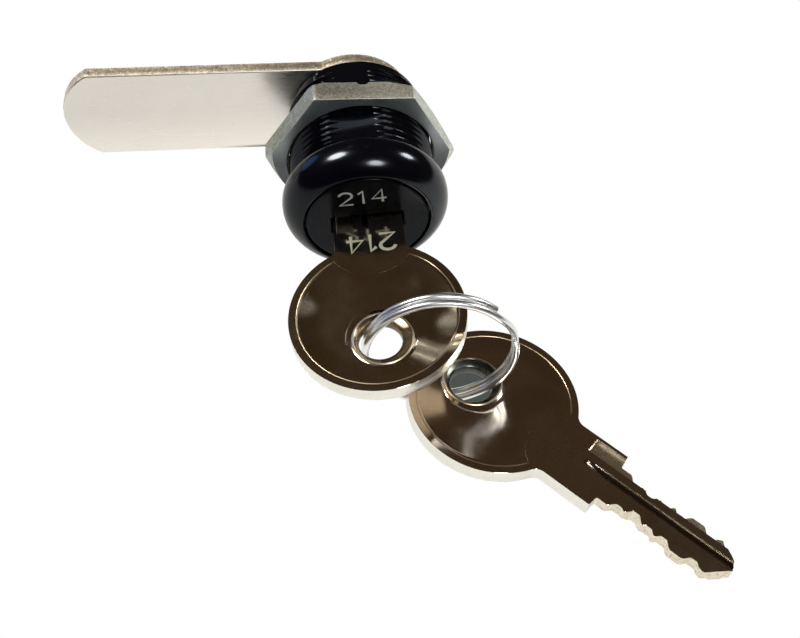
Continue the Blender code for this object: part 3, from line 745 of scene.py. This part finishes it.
def build_housing():
    inside = [(SEAT_R, HEAD_FRONT + 0.16), (SEAT_R, SEAT_FLOOR), (BORE_R, SEAT_FLOOR),
              (BORE_R, BARREL_END), (7.75, BARREL_END), (7.75, STOP_RIM_END - 0.08),
              (7.83, STOP_RIM_END), (8.55, STOP_RIM_END), (8.68, STOP_RIM_END - 0.12),
              (THREAD_ROOT_R - 0.15, BARREL_END + 0.05), (THREAD_ROOT_R, BARREL_END - 0.12)]
    outside = [(THREAD_ROOT_R, 0.25), (THREAD_ROOT_R + 0.08, 0.08), (THREAD_ROOT_R + 0.25, 0.0)]
    outside += head_profile()
    outside += [(SEAT_R + 0.09, HEAD_FRONT + 0.02), (SEAT_R + 0.02, HEAD_FRONT + 0.08)]
    rings = [ring_of(*point) for point in inside]
    rings += [thread_ring(row) for row in range(THREAD_ROWS * THREAD_TURNS, -1, -1)]
    rings += [ring_of(*point) for point in outside]

    flats = block(-12, 12, 0.02, 20, FLAT_HALF, 12)
    merge(flats, block(-12, 12, 0.02, 20, -12, -FLAT_HALF))
    across = block(-GROOVE_R, GROOVE_R, GROOVE_START, 20, -GROOVE_HALF, GROOVE_HALF)
    upright = block(-GROOVE_HALF, GROOVE_HALF, GROOVE_START, 20, -GROOVE_R, GROOVE_R)
    gap = arc(0, 0, 7.0, STOP_GAP_FROM, STOP_GAP_TO, 40)
    gap += arc(0, 0, 11.0, STOP_GAP_FROM, STOP_GAP_TO, 40)[::-1]
    add_piece("housing_body", loft(rings, wrap=True), LOCK,
              [flats, across, upright, prism(gap, BARREL_END + 0.003, 20, "Y")],
              BLACK, "housing", "black_enamel", "housing", 38.0)


# ---- plug and the numbers ----
def tail_outline(play):
    """Square tail with its corners turned down to a circle."""
    corner = TAIL_CORNER_R + play
    start = math.degrees(math.acos((TAIL_HALF + play) / corner))
    points = []
    for quarter in (0.0, 90.0, 180.0, 270.0):
        points += arc(0, 0, corner, quarter + start, quarter + 90.0 - start, 6)
    return points


def wafer_y(index):
    return KEY_Y + CUT_FROM + CUT_PITCH * index


def wafer_side(index):
    return 1 if index % 2 == 0 else -1


def build_plug():
    rim = 0.24
    profile = [(0.0, PLUG_FACE), (7.3, PLUG_FACE), (7.44, PLUG_FACE - 0.015), (7.56, PLUG_FACE)]
    profile += arc(FLANGE_R - rim, PLUG_FACE + rim, rim, -90.0, 0.0, 5)
    profile += [(FLANGE_R, FLANGE_REAR), (PLUG_R, FLANGE_REAR), (PLUG_R, PLUG_END - 0.3),
                (PLUG_R - 0.3, PLUG_END), (0.0, PLUG_END)]
    plug = new_object("plug_body", turned(profile, 160, math.pi / 160), LOCK)
    carve(plug, [prism(tail_outline(0.0), PLUG_END - 0.5, TAIL_END, "Y")], "UNION")

    half, wide, blade = KEY_THICK / 2 + 0.17, NECK_HALF + 0.2, BLADE_HALF + 0.2
    mouth = block(-wide, wide, PLUG_FACE - 1, KEY_Y + SHOULDER_X + 0.25, -half, half)
    keyway = block(-blade, blade, PLUG_FACE - 1, KEY_Y + TIP_X + 0.3, -half, half)
    lead_in = loft([[(-wide - s, y, -half - s), (wide + s, y, -half - s),
                     (wide + s, y, half + s), (-wide - s, y, half + s)]
                    for s, y in ((0.5, PLUG_FACE - 0.3), (0.2, PLUG_FACE), (0.0, PLUG_FACE + 0.2))])
    slots = bmesh.new()
    z = WAFER_HALF + 0.15
    outline = [(-8, -z), (8, -z), (8, z), (POCKET_END, z), (POCKET_END, POCKET_TOP),
               (-POCKET_END, POCKET_TOP), (-POCKET_END, z), (-8, z)]
    for i in range(len(CUT_HALF)):
        side = wafer_side(i)
        merge(slots, prism([(side * a, side * b) for a, b in outline],
                           wafer_y(i) - SLOT_THICK / 2, wafer_y(i) + SLOT_THICK / 2, "Y"))
    hole_end = KEY_Y + TIP_X + 0.1
    hole = turned([(0.0, TAIL_END + 1), (SCREW_HOLE_R + 0.3, TAIL_END + 0.3),
                   (SCREW_HOLE_R, TAIL_END - 0.1), (SCREW_HOLE_R, hole_end), (0.0, hole_end)], 40)
    carve(plug, [mouth, lead_in, keyway, slots, hole])
    finish_piece(plug, PLUG_BLACK, "plug", "plug_black", "plug")


CODE = "214"
GLYPH_WIDTH = 0.78
FLATTENED = 0.22                        # the round strokes' height over their width


def glyph(digit):
    """Pen strokes of a wide digit in a cell GLYPH_WIDTH wide and 1 high."""
    if digit == "2":
        bowl = [(0.39 + 0.36 * math.cos(a), 0.71 + 0.29 * math.sin(a))
                for a in (math.radians(168.0 - 14.0 * k) for k in range(15))]
        return [bowl + [(0.03, 0.0), (0.78, 0.0)]]
    if digit == "1":
        return [[(0.18, 0.78), (0.44, 1.0), (0.44, 0.0)]]
    return [[(0.58, 0.0), (0.58, 1.0), (0.0, 0.30), (0.80, 0.30)]]


def number(name, place, height, width, pen, look, body, slot):
    """A stamped code filled with paint: thin strokes that lie in the surface."""
    data = bpy.data.curves.new(name, "CURVE")
    data.dimensions = "3D"
    data.bevel_depth = pen / 2 * MM
    data.bevel_resolution = 3
    data.use_fill_caps = True
    advance = (width - GLYPH_WIDTH * height) / (len(CODE) - 1)
    for index, digit in enumerate(CODE):
        left = -width / 2 + index * advance
        for stroke in glyph(digit):
            spline = data.splines.new("POLY")
            spline.points.add(len(stroke) - 1)
            for point, (a, b) in zip(spline.points, stroke):
                point.co = ((left + a * height) * MM, (b - 0.5) * height * MM, 0.0, 1.0)
    drawn = add_object(name + "_pen", data)
    mesh = evaluated_mesh(drawn)
    bpy.data.objects.remove(drawn, do_unlink=True)
    mesh.transform(Matrix.Scale(FLATTENED, 4, (0, 0, 1)))
    finish_piece(add_object(name, mesh, place), look, body, slot)


def build_numbers():
    face = LOCK @ frame_at((-0.3, PLUG_FACE - 0.005, 4.7), spin(QUARTER, "X"))
    number("plug_number", face, 2.25, 5.9, 0.33, FACE_NUMBER, "plug", "plug_black")
    surface = KEY_THICK / 2 + 0.005
    across = spin(QUARTER, "Z")
    upper = KEY_IN @ frame_at((10.85, -0.2, surface), across)
    lower = SPARE @ frame_at((10.85, 0.2, -surface), spin(math.pi, "X") @ across)
    for name, place, body in (("key_number", upper, "key_in_lock"),
                              ("spare_key_number", lower, "spare_key")):
        number(name, place, 2.6, 6.1, 0.44, KEY_NUMBER, body, "key_nickel")


# ---- keys ----
def blade_half_at(x):
    """Half width of the bitted blade: a flat at each cut, sloped flanks between, rounded."""
    half = BLADE_HALF
    for i, cut in enumerate(CUT_HALF):
        offset = abs(x - (CUT_FROM + CUT_PITCH * i)) - 0.42
        half = min(half, cut + 1.25 * max(offset, 0.0))
    return half


def smooth_half_at(x):
    """The blade's half width, averaged over a small wheel radius."""
    reach, samples = 0.22, 7
    total = sum(blade_half_at(x + reach * (2.0 * k / (samples - 1) - 1.0)) for k in range(samples))
    return total / samples


def key_outline():
    """Counter-clockwise: bow, lower side out to the tip, upper side back."""
    fillet = 1.5
    centre_x = math.sqrt((BOW_R + fillet) ** 2 - (NECK_HALF + fillet) ** 2)
    touch = math.degrees(math.atan2(NECK_HALF + fillet, centre_x))
    upper = arc(centre_x, NECK_HALF + fillet, fillet, 180.0 + touch, 270.0, 8)
    upper += [(SHOULDER_X - 0.1, NECK_HALF), (SHOULDER_X, NECK_HALF - 0.1),
              (SHOULDER_X + 0.12, BLADE_HALF + 0.15), (SHOULDER_X + 0.25, BLADE_HALF)]
    x = SHOULDER_X + 0.6
    while x < 31.0:
        upper.append((x, smooth_half_at(x)))
        x += 0.11
    lower = [(a, -b) for a, b in upper]
    upper += [(31.45, 2.85), (31.75, 2.55), (32.3, 2.0), (32.8, 1.66), (33.3, 1.35), (33.75, 0.95),
              (TIP_X - 0.1, 0.5)]
    lower += [(31.6, -2.8), (31.8, -2.68), (TIP_X - 0.35, -0.55), (TIP_X, -0.3)]
    bow = arc(0, 0, BOW_R, touch, 360.0 - touch, 150)
    return bow[1:-1] + lower + upper[::-1]


def dish_reach(angle, lean):
    """From the collar's centre to the dish's outline: the round dish, cut off by the neck."""
    dx, dy = math.cos(angle), math.sin(angle)
    along = HOLE_X * dx + lean * dy
    reach = -along + math.sqrt(along * along - HOLE_X ** 2 - lean ** 2 + DISH_R ** 2)
    along = (HOLE_X - NECK_ARC_X) * dx + lean * dy
    inside = along * along - (HOLE_X - NECK_ARC_X) ** 2 - lean ** 2 + NECK_ARC_R ** 2
    if along < 0 and inside > 0:
        reach = min(reach, -along - math.sqrt(inside))
    return reach


def dish_cutter(face, up, lean):
    """Coined dish: a thin ridge round the hole, then a floor that climbs softly to the rim
    and eases out level at the neck."""
    corner_x = (DISH_R ** 2 - NECK_ARC_R ** 2 + NECK_ARC_X ** 2) / (2.0 * NECK_ARC_X)
    corner_y = math.sqrt(DISH_R ** 2 - corner_x ** 2)
    first = math.atan2(-corner_y - lean, corner_x - HOLE_X)
    last = math.atan2(corner_y - lean, corner_x - HOLE_X)
    angles = [first + (last - first) * k / 26 for k in range(26)]
    angles += [last + (TAU - last + first) * k / 160 for k in range(160)]
    wall, foot, neck_ease, climb_run, steps = 0.13, 0.28, 6.0, 3.4, 18

    def at(angle, radius, level, easing):
        x, y = HOLE_X + radius * math.cos(angle), lean + radius * math.sin(angle)
        if easing:
            near = smooth(1.0 - (math.hypot(x - NECK_ARC_X, y) - NECK_ARC_R) / neck_ease)
            level = level * (1.0 - near) - 0.010 * near
        return (x, y, up * (face + level))

    rings = [[at(a, COLLAR_R + out, level, False) for a in angles]
             for out, level in ((-0.22, 0.5), (-0.03, 0.03), (0.02, -0.015), (0.07, -0.055),
                                (0.12, -0.09), (0.19, -0.115), (foot, -0.13))]
    for k in range(1, steps + 1):
        ring = []
        for angle in angles:
            reach = dish_reach(angle, lean) - wall
            radius = COLLAR_R + foot + (reach - COLLAR_R - foot) * (k / steps)
            climb = 0.25 * max(0.0, (radius - reach + climb_run) / climb_run) ** 2
            ring.append(at(angle, radius, -0.30 + climb, True))
        rings.append(ring)
    for out, level, easing in ((0.035, -0.062, True), (0.07, -0.036, True), (0.105, -0.010, True),
                               (0.14, 0.03, False), (0.50, 0.5, False)):
        rings.append([at(a, dish_reach(a, lean) - wall + out, level, easing) for a in angles])
    return loft(rings, wrap=True)


def groove_cutter(half, side):
    """Round-bottomed groove down the blade that runs out at the neck as the wheel lifts."""
    depth, wide = 0.50, 0.58
    rings = []
    for x, share in ((13.3, -0.25), (13.8, 0.12), (14.3, 0.42), (15.0, 0.72), (15.9, 0.93),
                     (16.8, 1.0), (40.0, 1.0)):
        span = wide * (0.45 + 0.55 * max(share, 0.0))
        rings.append([(x, GROOVE_Y * side - span * math.cos(t),
                       side * (half + 0.3 - (0.3 + depth * share) * math.sin(t) ** 0.7))
                      for t in (math.pi * k / 8 for k in range(9))])
    return loft(rings)


def build_key(name, place, body, lean, look):
    half = KEY_THICK / 2
    plate = stamped(key_outline(), -half, half, "Z", 0.14, 0.05, 0.012, 0.26, 3.0)

    # how far the hole's funnel stands out from the throat, and its height over the face
    funnel = [(0.95, 0.22), (0.88, 0.04), (0.84, -0.015), (0.78, -0.05), (0.64, -0.10),
              (0.46, -0.17), (0.29, -0.25), (0.15, -0.34), (0.06, -0.44), (0.0, -0.60)]
    sides = 96
    rings = []
    for out, depth in funnel:
        shift = lean * (out / funnel[0][0])
        rings.append([(HOLE_X + (HOLE_R + out) * math.cos(TAU * k / sides),
                       shift + (HOLE_R + out) * math.sin(TAU * k / sides), half + depth)
                      for k in range(sides)])
    rings += [[(x, y, -z) for x, y, z in ring] for ring in reversed(rings)]

    ward = block(WARD_FROM, 40, WARD_LOW, WARD_HIGH, half - WARD_DEPTH, half + 1)
    merge(ward, block(WARD_FROM, 40, -WARD_HIGH, -WARD_LOW, -half - 1, WARD_DEPTH - half))
    grooves = groove_cutter(half, 1)
    merge(grooves, groove_cutter(half, -1))
    add_piece(name, plate, place, [loft(rings), dish_cutter(half, 1, lean),
                                   dish_cutter(half, -1, lean), ward, grooves],
              look, body, "key_nickel", body, 30.0)


# ---- wafers and springs ----
def build_wafer(index):
    side, name = wafer_side(index), "wafer_%d" % (index + 1)
    bearing = max(BLADE_HALF, CUT_HALF[index] + DROP - 0.1) + WINDOW_PLAY
    far = BLADE_HALF + WINDOW_PLAY
    reach = math.degrees(math.asin(WAFER_HALF / WAFER_R))
    outline = arc(0, 0, WAFER_R, -reach, reach, 16)
    outline += [(0.85, WAFER_HALF), (0.85, POCKET_TOP - 0.15), (0.15, POCKET_TOP - 0.15),
                (0.15, WAFER_HALF)]
    outline += arc(0, 0, WAFER_R, 180.0 - reach, 180.0 + reach, 16)
    low, high = wafer_y(index) - WAFER_THICK / 2, wafer_y(index) + WAFER_THICK / 2
    plate = stamped([(side * x, side * z) for x, z in outline], low, high, "Y",
                    0.07, 0.03, 0.01, 0.35, index * 5.0)
    window_z = KEY_THICK / 2 + 0.2
    window = block(*sorted((-side * bearing, side * far)), low - 1, high + 1, -window_z, window_z)
    add_piece(name + "_brass", plate, LOCK, [window], WAFER_BRASS, name, "wafer_brass", name)


def build_spring(index):
    """Small coil between the pocket's end and the wafer's lug, its end turns closed up."""
    side, name = wafer_side(index), "wafer_spring_%d" % (index + 1)
    turns, per_turn, coil, closing = 5.0, 20, 0.36, 0.035
    x0, x1 = -POCKET_END + 0.14, 0.01
    centre_z = (WAFER_HALF + 0.15 + POCKET_TOP) / 2
    count = int(turns * per_turn)
    path = []
    for k in range(count + 1):
        t = k / count
        ends = min(t, 1.0 - t) * turns
        along = t + math.copysign(closing, t - 0.5) * max(0.0, 1.0 - ends)
        angle = TAU * turns * t
        path.append(Vector((side * (x0 + (x1 - x0) * along),
                            wafer_y(index) + coil * math.cos(angle),
                            side * (centre_z + coil * math.sin(angle)))))
    add_piece(name + "_coil", tube(path, 0.085, 10, 0.02), LOCK, [],
              SPRING_STEEL, "plug", "spring_steel", name)


# ---- nut, cam and fixing ----
def nut_thread(thick):
    """Cutter for the bore: an internal thread that fades into the two chamfered mouths."""
    columns, rows, past = 144, 40, 0.8
    crest, depth = NUT_BORE_R - 0.10, 0.34

    def ring_at(y, radius_at):
        return [about_axis(radius_at(k), y, TAU * k / columns) for k in range(columns)]

    rings = [ring_at(-past, lambda k: NUT_MOUTH_R + past)]
    for row in range(rows + 1):
        y = thick * row / rows
        mouth = max(NUT_MOUTH_R - y, NUT_MOUTH_R - (thick - y))
        rings.append(ring_at(y, lambda k: max(mouth, crest + depth * (0.5 - 0.5 * math.cos(
            TAU * (y / THREAD_PITCH - k / columns))) ** 1.3)))
    return loft(rings + [ring_at(thick + past, lambda k: NUT_MOUTH_R + past)])


def build_nut():
    thick = nut_high.y - nut_low.y
    hexagon = []
    for k in range(6):
        for turn in (-0.9, 0.9):
            angle = math.radians(60 * k) + math.radians(turn)
            reach = NUT_AF / 2 / math.cos(math.radians(30.0 - abs(turn)))
            hexagon.append((reach * math.cos(angle), reach * math.sin(angle)))
    plate = stamped(hexagon, 0.0, thick, "Y", 0.10, 0.05, 0.03, 0.30, 11.0)
    collar = turned([(17.0, thick + 1.0), (10.9, thick + 1.0), (11.6, thick), (17.0, thick - 3.1)],
                    144)
    moved(collar, (-0.9, 0, 0))
    bevel = turned([(17.0, -1.0), (10.9, -1.0), (11.7, 0.0), (13.2, 1.9), (17.0, 1.9)], 144)
    moved(bevel, (0, 0, 1.6))
    notch = turned([(0.0, -0.5), (0.75, -0.5), (0.75, 0.5), (0.0, 0.5)], 32)
    rotated(notch, QUARTER, "X")
    bmesh.ops.scale(notch, vec=(1.0, 0.6, 4.0), verts=notch.verts)
    moved(notch, (0, thick, 12.2))
    add_piece("mounting_nut_zinc", plate, NUT, [collar, bevel, notch, nut_thread(thick)],
              NUT_ZINC, "mounting_nut", "zinc", "mounting_nut", 30.0)


def build_cam():
    front, thick = cam_low.y - SEAT_Y, cam_high.y - cam_low.y
    upper = 180.0 - math.degrees(math.asin((CAM_HALF - CAM_EYE_Z) / CAM_EYE_R))
    lower = 180.0 - math.degrees(math.asin((CAM_HALF + CAM_EYE_Z) / CAM_EYE_R))
    eye = arc(CAM_EYE_X, CAM_EYE_Z, CAM_EYE_R, -lower, upper, 60)
    spread = math.degrees(math.asin(CAM_HALF / CAM_TIP_R))
    tip = arc(cam_low.x + CAM_TIP_R, 0, CAM_TIP_R, 180.0 - spread, 180.0 + spread, 40)
    plate = stamped(eye + tip, front, front + thick, "Y", 0.26, 0.06, 0.05, 0.22, 7.0)
    hole = prism(tail_outline(0.2), front - 1, front + thick + 1, "Y")
    rotated(hole, LOCK_TURN, "Y")
    add_piece("cam_plate", plate, SEAT, [hole], CAM_NICKEL, "plug", "cam_nickel", "cam", 30.0)


def build_stop_washer():
    outline = arc(0, 0, 7.55, 10.0, 350.0, 90) + arc(0, 0, 8.7, -9.0, 9.0, 4)
    plate = stamped(outline, stop_front, stop_rear, "Y", 0.10, 0.03, 0.015, 0.4, 21.0)
    add_piece("stop_washer_plate", plate, LOCK,
              [prism(tail_outline(0.2), stop_front - 1, stop_rear + 1, "Y")],
              WASHER_ZINC, "plug", "zinc", "stop_washer")


def build_spring_washer():
    """Split washer: a square wire bent to a short helix, its ends cut at a slant."""
    tall, inner, outer, round_off, count = 0.52, 2.25, 3.7, 0.06, 96
    section = ((inner, round_off), (inner + round_off, 0.0), (outer - round_off, 0.0),
               (outer, round_off), (outer, tall - round_off), (outer - round_off, tall),
               (inner + round_off, tall), (inner, tall - round_off))
    rings = []
    for k in range(count + 1):
        t = k / count
        angle = math.radians(6.0 + 348.0 * t)
        y0 = washer_front + (washer_rear - washer_front - tall) * t
        rings.append([about_axis(r, y0 + h, angle) for r, h in section])
    add_piece("spring_washer_coil", loft(rings), LOCK, [],
              SPRING_STEEL, "plug", "spring_steel", "spring_washer")


def build_screw():
    """Pan head with a cross recess that narrows to its floor; the shank is threaded."""
    seat, pitch = washer_rear + 0.12, 0.7
    profile = [(0.0, screw_top), (1.7, screw_top - 0.10)]
    for a in (15, 30, 45, 60, 75, 88):
        t = math.radians(a)
        profile.append((1.7 + 2.2 * math.sin(t), screw_top - 0.10 - 1.4 * (1 - math.cos(t))))
    y = seat - 1.3
    profile += [(4.05, seat + 0.35), (4.05, seat + 0.08), (3.97, seat), (1.6, seat), (1.6, y)]
    while y - pitch > screw_tip + 0.5:
        profile += [(1.78, y - pitch / 2), (1.45, y - pitch)]
        y -= pitch
    profile += [(1.2, screw_tip), (0.0, screw_tip)]
    cross = []
    for y, long, half in ((-SEAT_Y, 1.55, 0.28), (screw_top + 0.4, 2.15, 0.46)):
        cross.append([(x * c - z * s, y, x * s + z * c)
                      for c, s in ((1, 0), (0, 1), (-1, 0), (0, -1))
                      for x, z in ((long, -half), (long, half), (half, half))])
    add_piece("cam_screw_pan", turned(profile, 64), LOCK, [loft(cross)],
              SCREW_ZINC, "plug", "screw_zinc", "cam_screw", 30.0)


# ---- split ring ----
def build_ring():
    """Two turns of wire side by side, crossing over between the two free ends."""
    first, sweep, cross_at, cross_wide, count = 48.0, 682.0, 322.0, 38.0, 420
    path = []
    for k in range(count + 1):
        turn = sweep * k / count
        angle = math.radians(first + turn)
        path.append(Vector((RING_R * math.cos(angle), RING_R * math.sin(angle),
                            TURN_PITCH * (smooth((turn - cross_at) / cross_wide) - 0.5))))
    add_piece("split_ring_wire", tube(path, WIRE_R, 24, 0.08), RING, [],
              RING_CHROME, "split_ring", "ring_chrome", "split_ring")


build_housing()
build_plug()
build_numbers()
build_key("key_in_lock_blank", KEY_IN, "key_in_lock", -KEY_LEAN, KEY_NICKEL)
build_key("spare_key_blank", SPARE, "spare_key", KEY_LEAN, SPARE_NICKEL)
build_ring()
build_nut()
build_cam()
build_stop_washer()
build_spring_washer()
build_screw()
for wafer_index in range(len(CUT_HALF)):
    build_wafer(wafer_index)
    build_spring(wafer_index)


# ---- floor, light and camera ----
FLOOR_Z = cad_low.z - 0.045             # clear of the keys at every pose
CAMERA_PLACE = Vector((-10.238, -96.850 + SEAT_Y, 108.782)) * MM
LIGHT_DISTANCE = 0.9


def cleared(owner):
    """The emptied node tree of a material or world."""
    owner.use_nodes = True
    owner.node_tree.nodes.clear()
    return Nodes(owner.node_tree)


def cone(nodes, direction, towards, outer, inner):
    """1 within an angle of a direction, 0 beyond a wider one, in degrees."""
    return nodes.span(nodes.measure("DOT_PRODUCT", direction, towards),
                      math.cos(math.radians(outer)), math.cos(math.radians(inner)))


def build_floor():
    """White to the camera, paper to other rays. A soft grey spot, a painted shadow, lies where the
    main view meets the floor through the spare key's hole; it fades as the view leaves that line."""
    bm = bmesh.new()
    bmesh.ops.create_grid(bm, x_segments=8, y_segments=8, size=1.5)
    mesh = bpy.data.meshes.new("floor")
    bm.to_mesh(mesh)
    bm.free()
    floor = add_object("floor", mesh, Matrix.Translation((0, 0, FLOOR_Z)))
    material = bpy.data.materials.new("pale_floor")
    n = cleared(material)
    geometry = n.add("NewGeometry").outputs
    sight = SPARE @ (Vector((HOLE_X, 0.0, 0.0)) * MM) - CAMERA_PLACE
    stretch = (FLOOR_Z - CAMERA_PLACE.z) / sight.z
    away = n.measure("DISTANCE", geometry["Position"], CAMERA_PLACE + sight * stretch)
    # painted shadow: a grey spot under the spare key's hole, seen only from near the main view
    hole_shadow = n.times(n.fade(away, 0.0038 * stretch, 0.0075 * stretch),
                   cone(n, geometry["Incoming"], -sight.normalized(), 9.0, 4.0))
    shade = n.mix(n.math("SUBTRACT", 1.0, hole_shadow), (0.075, 0.085, 0.075), (1.0, 1.0, 1.0))
    n.by_ray(n.add("BsdfDiffuse", Color=(0.90, 0.895, 0.87)).outputs[0],
             n.add("Emission", Color=shade, Strength=1.0).outputs[0], "OutputMaterial")
    mesh.materials.append(material)


def build_world():
    """White to the camera; in reflections a dark, uneven brown room with two small soft lamps
    that make the glows on the first key's bow."""
    world = bpy.data.worlds.new("studio")
    bpy.context.scene.world = world
    n = cleared(world)
    direction = n.add("TexCoord").outputs["Generated"]
    patches = n.add("TexNoise", Vector=direction, Scale=2.2, Detail=1.0).outputs["Fac"]
    uneven = n.add("MapRange", Value=patches, _1=0.3, _2=0.7, _3=0.75, _4=1.3).outputs[0]
    room = n.scaled((0.035, 0.0225, 0.0125), uneven)
    for towards, wide, colour in (((0.048, 0.475, 0.876), 2.4, (0.36, 0.33, 0.27)),
                                  ((-0.245, 0.59, 0.770), 2.5, (1.1, 1.05, 0.95))):
        lamp = cone(n, direction, Vector(towards).normalized(), wide, 0.3 * wide)
        room = n.vector("ADD", room, n.scaled(colour, lamp))
    n.by_ray(n.add("Background", Color=room, Strength=1.0).outputs[0],
             n.add("Background", Color=(1.0, 1.0, 1.0), Strength=1.0).outputs[0], "OutputWorld")


def add_light(name, towards, size, power, colour):
    """A soft round light that looks at the lock from a direction seen from it."""
    data = bpy.data.lights.new(name, "AREA")
    data.shape = "DISK"
    data.size = size
    data.energy = power
    data.color = colour
    light = add_object(name, data)
    direction = Vector(towards).normalized()
    light.location = Vector((0.0, SEAT_Y * MM, 0.0)) + direction * LIGHT_DISTANCE
    light.rotation_mode = "QUATERNION"
    light.rotation_quaternion = (-direction).to_track_quat("-Z", "Y")


def build_camera():
    """The photographer's place: about 54 degrees above the lock's axis, a little to the left."""
    right = Vector((0.99398872, -0.09818796, 0.04843081))
    up = Vector((0.05219012, 0.81381584, 0.57877454))
    back = Vector((-0.09624245, -0.57276775, 0.81404821))
    data = bpy.data.cameras.new("camera")
    data.sensor_width = 36.0
    data.lens = 50.26
    data.clip_start = 0.01
    place = Matrix((right, up, back)).transposed().to_4x4()
    place.translation = CAMERA_PLACE
    bpy.context.scene.camera = add_object("camera", data, place)


build_floor()
build_world()
add_light("light_left", (-0.55, 0.19, 0.82), 0.34, 6.0, (1.0, 0.99, 0.96))
add_light("light_front", (0.21, -0.63, 0.75), 0.26, 2.8, (0.96, 0.98, 1.0))
add_light("light_right", (0.78, 0.23, 0.59), 0.24, 2.5, (0.98, 1.0, 0.98))
add_light("light_window", (-0.79, 0.60, 0.17), 0.36, 0.34, (0.22, 0.42, 1.0))
build_camera()
bpy.context.scene.view_settings.view_transform = "Standard"
